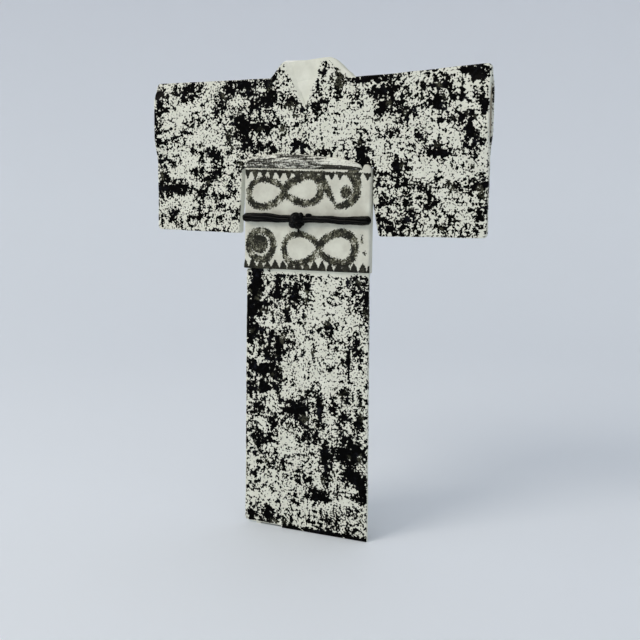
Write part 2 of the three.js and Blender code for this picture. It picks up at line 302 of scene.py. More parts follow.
def merge_clay(piece, other, operation):
    """Joins wet clay on, or cuts it away, and removes the other piece"""
    step = piece.modifiers.new("clay", "BOOLEAN")
    step.operation = operation
    step.solver = "MANIFOLD"
    step.object = other
    evaluated_copy(piece)
    if not piece.data.polygons:
        raise RuntimeError(f"{piece.name}: {operation} with {other.name} left nothing")
    spare = other.data
    bpy.data.objects.remove(other)
    bpy.data.meshes.remove(spare)


def grid_solid(us, vs, before, behind):
    """A closed plate between two surfaces: before(u, v) faces the viewer and behind(u, v) faces away"""
    u, v = np.meshgrid(us, vs)
    points = np.concatenate([np.stack(f(u.ravel(), v.ravel()), 1) for f in (before, behind)])
    wide, tall = len(us), len(vs)
    layer = wide * tall
    faces = []
    for j in range(tall - 1):
        for i in range(wide - 1):
            a = j * wide + i
            faces.append((a, a + 1, a + 1 + wide, a + wide))
            faces.append((layer + a, layer + a + wide, layer + a + wide + 1, layer + a + 1))
    last = layer - wide
    for i in range(wide - 1):
        faces.append((i, layer + i, layer + i + 1, i + 1))
        faces.append((last + i, last + i + 1, layer + last + i + 1, layer + last + i))
    for j in range(tall - 1):
        a, b = j * wide, (j + 1) * wide - 1
        faces.append((a, a + wide, layer + a + wide, layer + a))
        faces.append((b, layer + b, layer + b + wide, b + wide))
    return points, faces


def add_node(tree, kind, links=None, **settings):
    """Adds a node with its settings; links gives each input a number, a colour, a socket or a node"""
    node = tree.nodes.new(kind)
    for name, value in settings.items():
        setattr(node, name, value)
    for name, value in (links or {}).items():
        socket = node.inputs[name]
        if isinstance(value, bpy.types.Node):
            value = next(out for out in value.outputs if out.enabled)
        if isinstance(value, bpy.types.NodeSocket):
            tree.links.new(value, socket)
        else:
            socket.default_value = value
    return node


# The kimono's front: outline, faces and rims


def rounded_path(corners, spacing):
    """A closed outline through corners (x, z, radius), rounded and cut into short steps"""
    points = []
    count = len(corners)
    for i, (x, z, radius) in enumerate(corners):
        here = np.array((x, z))
        if radius <= 0:
            points.append(here)
            continue
        before = np.array(corners[i - 1][:2]) - here
        after = np.array(corners[(i + 1) % count][:2]) - here
        start = here + before / np.linalg.norm(before) * min(radius, np.linalg.norm(before) / 2.1)
        end = here + after / np.linalg.norm(after) * min(radius, np.linalg.norm(after) / 2.1)
        steps = 7 if radius > 1.5 else 4
        for t in np.linspace(0, 1, steps):
            points.append((1 - t) ** 2 * start + 2 * t * (1 - t) * here + t * t * end)
    dense = []
    for a, b in zip(points, points[1:] + points[:1]):
        parts = max(1, int(np.linalg.norm(b - a) / spacing + 0.5))
        dense.extend(lerp(a, b, k / parts) for k in range(parts))
    return np.array(dense)


def sleeve_inner(side, z):
    """Distance of a sleeve's inner edge from the middle"""
    return lerp(side.inner_low, side.inner_high, smooth(z, *side.slit))


def kimono_outline(sizes):
    """The front's cut edge, anticlockwise as the viewer sees it"""
    left, right = SIDES
    corners = [(-23.3, 1.6, 0.5), (-22.7, 0.0, 0.4), (HEM_HALF, 0.0, 1.0), (SKIRT_HALF, SKIRT_TOP, 0)]
    corners += [(TORSO_HALF, SKIRT_TOP + 1, 0), (TORSO_HALF, SLIT_TOP, 0.4)]
    corners += [(right.inner_high + 0.2, SLIT_TOP, 0.6)]
    corners += [(sleeve_inner(right, z), z, 0) for z in (312.0, 304.0, 298.0, 292.0, 286.0, 278.0)]
    corners += [(right.inner_low, 269.4, 2.2)]
    corners += [(right.outer, right.end_low, 4.0), (right.outer, right.end_high, 4.0), (75.0, 403.7, 0)]
    corners += [(x, z, 1.2) for x, z in COLLAR]
    corners += [(-75.0, 405.4, 0), (-left.outer, left.end_high, 4.0), (-left.outer, left.end_low, 4.0)]
    corners += [(-left.inner_low, 269.4, 3.0)]
    corners += [(-sleeve_inner(left, z), z, 0) for z in (280.0, 292.0, 305.0, 318.0)]
    corners += [(-left.inner_high - 0.2, SLIT_TOP, 0.6), (-TORSO_HALF, SLIT_TOP, 0.4)]
    corners += [(-TORSO_HALF, SKIRT_TOP + 1, 0), (-SKIRT_HALF, SKIRT_TOP, 0), (-HEM_HALF, 1.6, 4.6)]
    path = rounded_path(corners, 1.4)
    x, z = path.T
    ahead, behind = np.roll(path, -1, 0), np.roll(path, 1, 0)
    along = ahead - behind
    along /= np.linalg.norm(along, axis=1)[:, None]
    outward = np.stack([along[:, 1], -along[:, 0]], 1)
    wander = 0.75 * swell(x, z, 33.0, 2) + 0.25 * swell(x, z, 9.0, 5)
    calm = smooth(z, 1.5, 8.0) * np.where((np.abs(x) < 70) & (z > 236) & (z < 330), 0.3, 1.0)
    return path + outward * (wander * calm * sizes.hand_cut)[:, None], outward


def line_distance(x, z, a, b):
    """Signed distance from the line a to b, positive on its left"""
    dx, dz = b[0] - a[0], b[1] - a[1]
    return (dx * (z - a[1]) - dz * (x - a[0])) / math.hypot(dx, dz)


def neck(x, z):
    """How far inside the open V a point lies, and how far inside the under-collar band"""
    left = -line_distance(x, z, NECK_TIP, NECK_LEFT)
    right = line_distance(x, z, NECK_TIP, NECK_RIGHT)
    band = line_distance(x, z, BAND_START, BAND_END)
    inside = np.minimum(left, right)
    return inside, np.minimum(inside, band)


def swing(side, x, z):
    """How far a sleeve's mouth stands open at a place, from 0 to 1, and how closed its edge is there"""
    inner = sleeve_inner(side, z)
    u = (np.abs(x) - inner) / (side.outer - inner)
    start = 1 - MOUTH_DEEP / (side.outer - side.inner_low)
    flare = np.clip((u - start) / (1 - start), 0, None) ** 2.2
    opening = smooth(z, MOUTH_LOW - 8, MOUTH_LOW + 16) * (1 - smooth(z, MOUTH_HIGH - 14, MOUTH_HIGH + 3))
    return opening * flare, smooth(u, 0.93, 1.0) * (1 - opening)


def crease_height(x):
    """Height of the crease across the clay inside the V"""
    (left, low), (right, high) = CREASE
    return lerp(low, high, (x - left) / (right - left)) - 0.4 * np.sin(0.4 * x)


def seam_at(z):
    """Where the seam runs down the collar's right side"""
    return SEAM_X + 0.5 * np.sin(0.13 * z)


def overlap_edge(z):
    """Where the right front's edge runs down the skirt"""
    return lerp(-23.0, -33.0, z / SKIRT_TOP) + 0.5 * swell(z, z, 60.0, 3)


def front_face(x, z, edge, sizes):
    """Depth of the kimono's front face, from a point's distance to the cut edge"""
    r = sizes.edge
    y = r - np.sqrt(r * r - (r - np.minimum(edge, r)) ** 2)
    under = (1 - smooth(x, overlap_edge(z) - 0.45, overlap_edge(z) + 0.15)) * (z < SKIRT_TOP + 4)
    y = y + sizes.overlap * under
    inside, band = neck(x, z)
    y = y + 1.7 * smooth(inside, -0.1, 0.7) - 0.9 * smooth(band, 0.0, 0.6)
    crease = np.abs(z - crease_height(x))
    y = y + 0.3 * np.exp(-((crease / 0.45) ** 2)) * smooth(0.1 - band, 0, 1) * (inside > 1)
    seam = 1 - smooth(np.abs(x - seam_at(z)), 0.25, 0.8)
    y = y + 0.6 * seam * smooth(z, SEAM_LOW, SEAM_LOW + 4) * (1 - smooth(z, SEAM_HIGH - 4, SEAM_HIGH))
    for side in SIDES:
        opened, closed = swing(side, x, z)
        here = np.sign(x) == side.sign
        y = y - np.where(here, side.forward * opened - 1.2 * closed, 0.0)
    uneven = 0.7 * swell(x, z, 85.0, 1) + 0.3 * swell(x, z, 26.0, 4)
    still = smooth(edge, 0.0, 12.0) * smooth(z, 0.0, 25.0)
    return y + sizes.uneven * uneven * (0.35 + 0.65 * still)


def back_face(x, z, edge, sizes):
    """Depth of the kimono's rear face"""
    torso = (z < SLIT_TOP + 0.6) & ((np.abs(x) < 60.2) | (z < 265))
    deep = np.where(torso, SLAB, SLEEVE_DEPTH)
    r = np.minimum(sizes.edge, deep / 2 - 0.4)
    y = deep - r + np.sqrt(np.maximum(r * r - (r - np.minimum(edge, r)) ** 2, 0.0))
    for side in SIDES:
        opened, closed = swing(side, x, z)
        here = np.sign(x) == side.sign
        y = y + np.where(here, side.backward * opened - 1.2 * closed, 0.0)
    uneven = 0.7 * swell(x, z, 75.0, 6) + 0.3 * swell(x, z, 28.0, 8)
    return y + sizes.uneven * uneven * np.where(torso, 0.0, 1.0)


def edge_distance(points, outline):
    """Distance of each point to the outline"""
    start = outline
    run = np.roll(outline, -1, 0) - start
    length = (run**2).sum(1)
    best = np.empty(len(points))
    for i in range(0, len(points), 1500):
        part = points[i : i + 1500, None, :] - start[None]
        t = np.clip((part * run[None]).sum(2) / length, 0, 1)
        best[i : i + 1500] = np.sqrt(((part - run[None] * t[..., None]) ** 2).sum(2).min(1))
    return best


def inside_outline(points, outline):
    """Whether each point lies inside the outline"""
    x0, z0 = outline.T
    x1, z1 = np.roll(outline, -1, 0).T
    hit = np.zeros(len(points), bool)
    for i in range(0, len(points), 1500):
        px, pz = points[i : i + 1500, 0, None], points[i : i + 1500, 1, None]
        crosses = (z0 > pz) != (z1 > pz)
        at = x0 + (pz - z0) * (x1 - x0) / np.where(z1 == z0, 1e-9, z1 - z0)
        hit[i : i + 1500] = (crosses & (px < at)).sum(1) % 2 == 1
    return hit


def rows_beside(path, offsets):
    """Rows of points beside a line, close together across it, so that a step in the clay stays crisp"""
    path = np.array(path)
    along = np.gradient(path, axis=0)
    along /= np.linalg.norm(along, axis=1)[:, None]
    across = np.stack([-along[:, 1], along[:, 0]], 1)
    return [path + across * offset for offset in offsets]


def front_points(outline, outward):
    """Points of the front: the outline first, rings inside it, rows beside each step, and an even field"""
    steps = []
    z = np.arange(2.0, SKIRT_TOP + 2, 1.5)
    edge = np.stack([overlap_edge(z), z], 1)
    steps += rows_beside(edge, (-0.5, -0.25, -0.08, 0.1, 0.3, 0.5))
    t = np.linspace(0.0, 1.0, 40)[:, None]
    tip, left, right = np.array(NECK_TIP), np.array(NECK_LEFT), np.array(NECK_RIGHT)
    across = (0.7, 0.45, 0.2, -0.05, -0.2)
    steps += rows_beside(tip + (left - tip) * t, across)
    steps += rows_beside(tip + (right - tip) * t, across)
    band = np.array(BAND_START) + (np.array(BAND_END) - tip) * t
    steps += rows_beside(band, (-0.1, 0.15, 0.4, 0.65))
    x = np.linspace(-13.0, 4.6, 14)
    steps += rows_beside(np.stack([x, crease_height(x)], 1), (-0.7, -0.35, 0.0, 0.35, 0.7))
    z = np.arange(SEAM_LOW, SEAM_HIGH, 1.4)
    steps += rows_beside(np.stack([seam_at(z), z], 1), (-0.85, -0.55, -0.25, 0.25, 0.55, 0.85))
    rings = [(0.08, 1), (0.3, 1), (0.65, 1), (1.15, 1), (2.1, 2)]
    points = [outline]
    for deep, every in rings:
        ring = outline[::every] - outward[::every] * deep
        points.append(ring[edge_distance(ring, outline) > deep * 0.94])
    for row in steps:
        keep = inside_outline(row, outline)
        row = row[keep]
        points.append(row[edge_distance(row, outline) > 1.3])
    near = np.concatenate(points[1 + len(rings) :])
    pitch = 2.4
    rows = np.arange(0.5, HEIGHT + 2, pitch * 0.866)
    columns = np.arange(-162, 162, pitch)
    field = np.array([(cx + (i % 2) * pitch / 2, cz) for i, cz in enumerate(rows) for cx in columns])
    field = field[inside_outline(field, outline)]
    field = field[edge_distance(field, outline) > 3.2]
    keep = np.ones(len(field), bool)
    for i in range(0, len(near), 200):
        part = near[i : i + 200]
        gap = ((field[:, None, :] - part[None]) ** 2).sum(2).min(1)
        keep &= gap > 1.3**2
    points.append(field[keep])
    return np.concatenate(points)


def front_slab(sizes):
    """Skirt, torso, shoulders, collar and the outsides of both sleeves, as one closed slab"""
    outline, outward = kimono_outline(sizes)
    count = len(outline)
    points = front_points(outline, outward)
    flat = [Vector(p) for p in points]
    rim_edges = [(i, (i + 1) % count) for i in range(count)]
    places, _, triangles, sources, _, _ = delaunay_2d_cdt(flat, rim_edges, [], 0, 1e-4, True)
    plan = np.array([tuple(p) for p in places])
    triangles = np.array(triangles)
    triangles = triangles[inside_outline(plan[triangles].mean(1), outline)]
    number = {}
    for new, olds in enumerate(sources):
        for old in olds:
            number.setdefault(old, new)
    rim = [number[i] for i in range(count)]
    edge = edge_distance(plan, outline)
    edge[rim] = 0.0
    x, z = plan.T
    front = front_face(x, z, edge, sizes)
    back = back_face(x, z, edge, sizes)
    total = len(plan)
    vertices = [np.stack([x, front, z], 1), np.stack([x, back, z], 1)]
    faces = []
    for a, b, c in triangles:
        faces.append((a, b, c))
        faces.append((total + a, total + c, total + b))
    between = (0.33, 0.67)
    rows = [rim]
    for share in between:
        start = sum(len(v) for v in vertices)
        vertices.append(np.stack([x[rim], lerp(front[rim], back[rim], share), z[rim]], 1))
        rows.append(list(range(start, start + count)))
    rows.append([total + r for r in rim])
    for upper, lower in zip(rows, rows[1:]):
        for i in range(count):
            k = (i + 1) % count
            faces.append((upper[i], lower[i], lower[k], upper[k]))
    body = np.concatenate(vertices)
    # The skirt stands a little to the left of the torso, more so at its top
    height = body[:, 2]
    body[:, 0] -= lerp(0.7, 1.4, height / SKIRT_TOP) * (1 - smooth(height, SKIRT_TOP - 0.5, SKIRT_TOP + 1.0))
    return new_piece("kimono_glazed", settle(body, sizes.lean), faces)


def sleeve_hollow(side, sizes):
    """The hollow between a sleeve's two layers, flared at the mouth so that the rims come out rounded"""
    lip = 1.1

    def surface(front):
        def at(u, v):
            u = 1 - u if side.sign < 0 else u
            z = lerp(MOUTH_LOW, MOUTH_HIGH - 1.5, v)
            start = side.outer - MOUTH_DEEP * np.sin(np.pi * lerp(0.16, 0.84, v))
            x = lerp(start, side.outer + 2.5, u**0.8)
            opened, _ = swing(side, np.minimum(x, side.outer), z)
            between = (SLEEVE_DEPTH + (side.forward + side.backward) * opened) / 2 - SLEEVE_WALL
            half = 0.35 + np.maximum(0, between) * np.sin(np.pi * lerp(0.1, 0.9, v))
            into = np.clip(x - (side.outer - lip), 0, lip)
            half = half + (lip - np.sqrt(lip * lip - into * into)) * np.sin(np.pi * lerp(0.06, 0.94, v))
            middle = SLEEVE_DEPTH / 2 + (side.backward - side.forward) * opened / 2
            return side.sign * x, middle - half if front else middle + half, z

        return at

    us = np.concatenate([np.linspace(0, 0.85, 14), np.linspace(0.87, 1.0, 9)])
    if side.sign < 0:
        us = (1 - us)[::-1]
    points, faces = grid_solid(us, np.linspace(0, 1, 37), surface(True), surface(False))
    return new_piece("hollow", settle(points, sizes.lean), faces)


def bowed_back(grow, low, high, sizes):
    """The bowed back as a full solid, grown outwards or inwards"""

    def behind(u, v):
        z = lerp(low, high, v)
        bow = sizes.bow * np.maximum(0, 1 - z / BACK_TOP) ** BACK_SWELL
        angle = np.pi * (1 - u)
        uneven = 0.35 * swell(60 * u, z, 60.0, 9) * (grow == 0)
        y = BACK_ROOT + np.maximum(0.2, bow + grow) * np.sin(angle) ** BACK_ROUND + uneven * np.sin(angle)
        return (BACK_HALF + grow) * np.cos(angle), y, z

    def before(u, v):
        x, _, z = behind(u, v)
        return x, np.full_like(x, BACK_ROOT - 0.6), z

    rows = 1 - (1 - np.linspace(0, 1, 61)) ** 1.4
    points, faces = grid_solid(np.linspace(0, 1, 57), rows, before, behind)
    return new_piece("back", lean_back(points, sizes.lean), faces)


def block(low, high):
    """A plain box between two corners in metres"""
    (x0, y0, z0), (x1, y1, z1) = low, high
    points = [(x, y, z) for z in (z0, z1) for y in (y0, y1) for x in (x0, x1)]
    faces = [(0, 2, 3, 1), (4, 5, 7, 6), (0, 1, 5, 4), (2, 6, 7, 3), (0, 4, 6, 2), (1, 3, 7, 5)]
    return new_piece("block", points, faces)


# Where the black slip lies thick on the front: x, z, half width, half height, weight
BLACK_AREAS = (
    (-152, 392, 6, 12, 0.16), (-128, 396, 13, 8, 0.3), (-90, 386, 6, 16, 0.2), (-78, 400, 8, 7, 0.16),
    (-62, 396, 9, 8, 0.26), (-38, 386, 24, 6, 0.24), (-50, 402, 14, 5, 0.1), (-154, 368, 5, 22, 0.18),
    (-70, 368, 10, 9, 0.24), (-63, 356, 4, 20, 0.26), (-80, 350, 4, 16, 0.26), (-46, 362, 20, 7, 0.28),
    (-46, 346, 16, 5, 0.22), (-154, 330, 7, 14, 0.26), (-145, 311, 18, 6, 0.32), (-100, 342, 11, 4, 0.26),
    (-104, 322, 15, 5, 0.28), (-90, 334, 10, 4, 0.2), (-76, 319, 4, 4, 0.26), (-95, 302, 14, 4, 0.24),
    (-142, 284, 9, 7, 0.14), (-112, 288, 10, 9, 0.12), (-84, 282, 16, 5, 0.1), (28, 397, 2.5, 19, 0.34),
    (15, 413, 4, 8, 0.28), (9, 391, 5, 8, 0.2), (5, 380, 12, 4, 0.18), (-8, 347, 12, 3.5, 0.32),
    (-5, 367, 9, 4, 0.2), (50, 337, 5, 11, 0.34), (60, 326, 7, 7, 0.2), (62, 401, 22, 4, 0.38),
    (66, 391, 18, 4, 0.3), (82, 377, 14, 9, 0.26), (66, 372, 5, 5, 0.2), (114, 389, 6, 9, 0.24),
    (118, 374, 10, 8, 0.16), (146, 401, 14, 5, 0.26), (155, 385, 5, 20, 0.16), (138, 364, 16, 9, 0.14),
    (148, 345, 8, 8, 0.2), (120, 340, 14, 5, 0.24), (84, 320, 10, 10, 0.22), (92, 297, 5, 18, 0.2),
    (73, 300, 7, 7, 0.16), (148, 312, 13, 10, 0.16), (112, 300, 12, 12, 0.08), (75, 277, 8, 8, 0.18),
    (156, 288, 5, 12, 0.16), (-50, 226, 6, 16, 0.34), (-28, 222, 4.5, 13, 0.34), (-12, 216, 5, 15, 0.32),
    (1, 222, 4, 15, 0.32), (50, 220, 10, 15, 0.26), (-56, 204, 9, 14, 0.34), (-58, 188, 6, 16, 0.24),
    (-38, 206, 16, 2.5, 0.26), (-20, 201, 3, 8, 0.3), (56, 200, 6, 14, 0.16), (-44, 174, 16, 10, 0.24),
    (-24, 168, 8, 10, 0.16), (-48, 146, 16, 8, 0.26), (-48, 131, 16, 5, 0.26), (-28, 150, 4.5, 30, 0.26),
    (50, 168, 5, 18, 0.18), (-6, 110, 16, 12, 0.3), (15, 114, 4, 15, 0.3), (4, 92, 7, 12, 0.28),
    (27, 118, 5, 5, 0.26), (37, 111, 5, 6, 0.3), (52, 106, 4, 20, 0.24), (-46, 112, 12, 8, 0.1),
    (-36, 92, 5, 12, 0.3), (-44, 82, 16, 6, 0.26), (-54, 67, 5, 7, 0.26), (-38, 57, 8, 6, 0.24),
    (46, 78, 13, 14, 0.38), (49, 57, 12, 8, 0.42), (21, 70, 8, 14, 0.3), (24, 52, 4, 10, 0.22),
    (-7, 48, 3, 10, 0.2), (3, 50, 5, 4, 0.2), (8, 40, 6, 4, 0.2), (18, 33, 9, 4, 0.3),
    (56, 43, 5, 10, 0.26), (33, 20, 12, 8, 0.18), (20, 14, 8, 8, 0.14), (-54, 9, 4, 8, 0.26),
    (-36, 12, 5, 8, 0.24), (-18, 8, 7, 6, 0.24),
)
# Where hardly any slip was dabbed: x, z, half width and half height
PALE_AREAS = (
    (-138, 372, 16, 14), (-110, 360, 18, 9), (-122, 334, 12, 12), (-124, 300, 14, 5), (-76, 300, 8, 8),
    (40, 372, 34, 14), (10, 356, 30, 8), (128, 354, 10, 9), (106, 328, 9, 9), (126, 322, 12, 9),
    (66, 345, 12, 8), (22, 206, 24, 22), (20, 228, 16, 5), (4, 164, 20, 10), (6, 142, 24, 10),
    (-45, 97, 7, 6), (-28, 88, 5, 4), (-15, 76, 12, 14), (-42, 42, 18, 20), (-50, 30, 8, 6),
    (36, 45, 8, 10), (42, 32, 12, 5),
)
PALE_WEIGHT = -0.09


def slip_cover(x, y, z):
    """How readily black slip lies at each place: above 0 it wins over the even half of the pattern"""
    cover = np.full_like(x, -0.035)
    front = smooth(-y, -3.2, -1.6)
    areas = BLACK_AREAS + tuple(area + (PALE_WEIGHT,) for area in PALE_AREAS)
    for cx, cz, half_x, half_z, weight in areas:
        far = ((x - cx) / half_x) ** 2 + ((z - cz) / half_z) ** 2
        cover = cover + weight * np.exp(-(far**1.4)) * front
    cover = cover - 0.05 * (1 - front)
    inside, _ = neck(x, z)
    white = smooth(inside, -0.6, 0.2) * (y < 3.4)
    slope = line_distance(x, z, (41.5, 403.0), (20.5, 420.4))
    white = np.maximum(white, 0.6 * smooth(-slope, -3.4, -1.6) * (z > 402) * (x > 12) * (x < 43))
    white = np.maximum(white, 0.7 * smooth(z, 417.0, 418.6))
    inner_side = (np.abs(x) > 60.8) & (np.abs(x) < 70) & (z < 327) & (y > 0.9) & (y < 7.4)
    cover = cover - 0.9 * white - 0.8 * inner_side
    right_edge = (x > 59.4) & (x < 63) & (z < 240) & (y > 0.8)
    cover = cover - 0.16 * right_edge
    cover = cover - 0.35 * smooth(z, 234.0, 235.8) * (z < 240) * front * smooth(x, -52, -30)
    mouth = (x > 159.2) & (z > 343) & (z < 402)
    cover = cover - 0.34 * mouth * (y < 4)
    foot = (z < 2.6) & (y < 6)
    return cover + foot * np.where(x > -23, 0.4, -0.6)


def bare_clay(x, y, z, sizes):
    """1 where no glaze reaches: inside the sleeves and inside the hollow back"""
    bare = np.zeros_like(x)
    for side in SIDES:
        opened, _ = swing(side, x, z)
        between = (y > 1.4 - side.forward * opened) & (y < 6.6 + side.backward * opened)
        here = (np.sign(x) == side.sign) & (np.abs(x) > 94) & (np.abs(x) < side.outer - 1.2)
        bare = np.maximum(bare, here & between & (z > MOUTH_LOW - 4) & (z < MOUTH_HIGH + 1))
    bow = sizes.bow * np.maximum(0.02, 1 - z / BACK_TOP) ** BACK_SWELL
    round_at = np.maximum(0.0, 1 - (x / (BACK_HALF - 1.5)) ** 2) ** 0.45
    within = (y > 3.6) & (y < BACK_ROOT + bow * round_at - 2.2)
    within = within & (np.abs(x) < BACK_HALF - 2.5) & (z < BACK_TOP - 8)
    return np.maximum(bare, within).astype(float)


def paint(piece, **fields):
    """Stores one number a vertex under each name"""
    for name, values in fields.items():
        layer = piece.data.attributes.new(name, "FLOAT", "POINT")
        layer.data.foreach_set("value", np.asarray(values, np.float32))


def corner_points(piece):
    """The piece's vertices as an array, in metres"""
    flat = np.empty(len(piece.data.vertices) * 3, np.float32)
    piece.data.vertices.foreach_get("co", flat)
    return flat.reshape(-1, 3).astype(float)


def finish_piece(piece, node, material, smooth_angle=34):
    """Shades a finished piece, gives it its glaze and lets it stand for its solid"""
    mesh = piece.data
    mesh.shade_smooth()
    mesh.set_sharp_from_angle(angle=math.radians(smooth_angle))
    mesh.materials.clear()
    mesh.materials.append(material)
    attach(piece, "root")
    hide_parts(node)


def build_kimono(sizes):
    """The kimono: its front with the sleeves, the hollow back joined on, and the sleeves' mouths cut"""
    piece = front_slab(sizes)
    back = bowed_back(0.0, -8.0, BACK_TOP, sizes)
    merge_clay(back, bowed_back(-BACK_WALL, -10.0, BACK_TOP - 12, sizes), "DIFFERENCE")
    merge_clay(back, block((-0.4, -0.4, -0.1), (0.4, 0.4, 0.0)), "DIFFERENCE")
    merge_clay(piece, back, "UNION")
    for side in SIDES:
        merge_clay(piece, sleeve_hollow(side, sizes), "DIFFERENCE")
    x, y, z = upright(corner_points(piece), sizes.lean)
    # A band along the collar's top edge, where a brighter white is painted in as a highlight
    top = lerp(418.9, 421.6, smooth(x, -26, 16))
    rim = smooth(z - top, -0.9, 0.1) * (x > -27) * (x < 21)
    paint(piece, slip=slip_cover(x, y, z), bare=bare_clay(x, y, z, sizes), rim=rim)
    return piece


# The obi, the roll and the cord


def band_path(half, front, rear, radius, rear_radius):
    """The band's section round the torso, anticlockwise from above, starting at the front's left"""
    wide, rear_wide = half - radius, half - rear_radius
    quarter = [(math.sin(turn), 1 - math.cos(turn)) for turn in np.radians(np.arange(1, 6) * 15)]
    points = [(x, front) for x in np.linspace(-wide, wide, 180)]
    points += [(wide + radius * over, front + radius * up) for over, up in quarter]
    points += [(half, y) for y in np.linspace(front + radius, rear - rear_radius, 4)]
    points += [(rear_wide + rear_radius * over, rear - rear_radius * up) for over, up in quarter[::-1]]
    # The rear's points crowd where the laid-over end steps up and down
    stations = [np.linspace(1, 0.57, 12), (0.556, 0.551, 0.545, 0.536), np.linspace(0.51, -0.21, 20)]
    stations += [(-0.235, -0.243, -0.25, -0.26), np.linspace(-0.29, -1, 16)]
    points += [(rear_wide * share, rear) for share in np.concatenate(stations)]
    points += [(-rear_wide - rear_radius * over, rear - rear_radius * up) for over, up in quarter]
    points += [(-half, y) for y in np.linspace(rear - rear_radius, front + radius, 4)]
    points += [(-wide - radius * over, front + radius * up) for over, up in quarter[::-1]]
    return np.array(points)


def obi_low(x, y):
    """Height of the obi's lower edge"""
    return lerp(*OBI_LOW, (x + OBI_HALF) / (2 * OBI_HALF)) + 0.22 * swell(x, y, 42.0, 7)


def obi_high(x, y):
    """Height of the obi's upper edge, with the folded corner standing up at the front's right"""
    edge = lerp(*OBI_HIGH, (x + OBI_HALF) / (2 * OBI_HALF)) + 0.25 * swell(x, y, 36.0, 11)
    lump = smooth(x, 51.8, 54.8) * (1 - 0.7 * smooth(x, 56.6, 61.6))
    return lerp(edge + 4.5 * lump, 326.0, smooth(y, 0.0, 6.0))


def build_obi(sizes):
    """The obi: one slab round the torso, with its end laid over its start behind"""
    outer = band_path(OBI_HALF, -OBI_FRONT, OBI_REAR, 1.8, 4.2)
    inner = band_path(TORSO_HALF + GAP, -GAP, SLAB + GAP, 0.4, 1.0)
    rim, rim_share = 0.9, 0.3
    profile = []
    for turn in np.radians((0, 22, 45, 68)):
        profile.append((rim_share * (1 - math.sin(turn)), 0.0, rim * (1 - math.cos(turn))))
    profile += [(0.0, t, 0.0) for t in np.linspace(0, 1, 130)[1:-1]]
    for turn in np.radians((22, 45, 68, 90)):
        profile.append((rim_share * (1 - math.cos(turn)), 1.0, -rim * (1 - math.sin(turn))))
    profile += [(1.0, t, 0.0) for t in (1.0, 0.66, 0.33, 0.0)]
    x, y = outer.T
    rear = y > OBI_REAR - 0.6
    laid_over = 1.6 * rear * smooth(x, -14.6, -13.4) * (1 - smooth(x, 31.0, 32.2))
    rows = []
    for share, along, lift in profile:
        px, py = lerp(outer, inner, share).T
        z = lerp(obi_low(x, y), obi_high(x, y), along) + lift
        uneven = 0.7 * swell(x, z, 64.0, 12) + 0.3 * swell(x, z, 21.0, 13)
        facing = np.where(y < -OBI_FRONT + 0.1, -1.0, 0.0) + np.where(rear, 1.0, 0.0)
        py = py + (1 - share) * (facing * 0.28 * uneven + laid_over)
        px = px - (1 - share) * smooth(-x, 52, OBI_HALF) * (0.7 + 1.2 * smooth(-z, -248, -240))
        rows.append(np.stack([px, py, z], 1))
    count, tall = len(outer), len(rows)
    faces = []
    for j in range(tall):
        for i in range(count):
            k, up = (i + 1) % count, (j + 1) % tall
            faces.append((j * count + i, j * count + k, up * count + k, up * count + i))
    points = np.concatenate(rows)
    piece = new_piece("obi_glazed", settle(points, sizes.lean), faces)
    x, y, z = points.T
    front = y < -OBI_FRONT + 1.2
    mark, tooth = np.full(len(x), 9.0), np.full(len(x), 9.0)
    run, across = np.zeros(len(x)), np.zeros(len(x))
    mark[front], run[front], across[front] = brush_marks(x[front], z[front])
    tooth[front] = tooth_edges(x[front], z[front])
    paint(piece, mark=mark, tooth=tooth, run=run, across=across)
    return piece


# The obi's brushed ornament. Figures of eight: middle (x, z), half length, half height of a loop, lift of
# the right end, half width of the stroke, and the turn in degrees at which the brush is fullest
FIGURES = (
    ((-21.0, 307.0), 35.5, 12.0, 2.2, 3.0, 40),
    ((13.0, 258.0), 34.0, 13.0, 1.0, 3.0, 70),
)
# The ring: middle (x, z), half width, half height and half width of its stroke
RING = ((-44.5, 259.5), 12.5, 13.0, 2.9)
# Open strokes: points (x, z, half width of the stroke) along each
OPEN_STROKES = (
    (
        (44.5, 322.0, 5.4), (47.2, 316.0, 4.4), (48.0, 310.0, 3.5), (47.0, 303.5, 3.7), (41.8, 298.2, 3.7),
        (35.5, 295.3, 2.9), (29.0, 294.3, 1.9),
    ),
    ((14.5, 322.5, 2.4), (17.2, 316.0, 2.6), (20.0, 309.6, 3.0), (23.2, 303.4, 2.6)),
    ((24.6, 301.4, 1.8), (26.8, 298.4, 1.2), (28.2, 296.0, 0.6)),
    ((53.2, 269.4, 0.6), (53.4, 266.0, 0.8), (53.2, 263.2, 0.6)),
    ((54.6, 256.0, 0.7), (56.2, 255.0, 1.1), (56.6, 253.0, 0.6)),
)
# Discs: x, z and radius
DOTS = ((38.0, 306.5, 5.3), (-46.0, 260.5, 8.5))

# Pointed teeth along the obi's two edges: first and last middle, how many, and the tips' height
HANGING_TEETH = (-58.5, 57.5, 15, 316.8)
STANDING_TEETH = (-60.5, 62.0, 17, 247.0)
TOOTH_HALF = 4.3
TOOTH_FOOT = 237.4


def figure_stroke(middle, reach, rise, lift, half, fullest):
    """A figure of eight in one stroke, wavering as a loaded brush does: x, z and half width along it"""
    turn = np.linspace(0, 2 * np.pi, 240, endpoint=False)
    side, loops = np.sin(turn), np.sin(2 * turn)
    x = middle[0] + reach * np.sign(side) * np.abs(side) ** 1.4
    z = middle[1] + rise * np.sign(loops) * np.abs(loops) ** 0.9 + lift * side
    width = half + 0.6 * np.cos(turn - math.radians(fullest)) + 0.4 * swell(x, z, 15.0, 18)
    return np.stack([x, z + 0.8 * swell(x, z, 22.0, 17), width], 1)


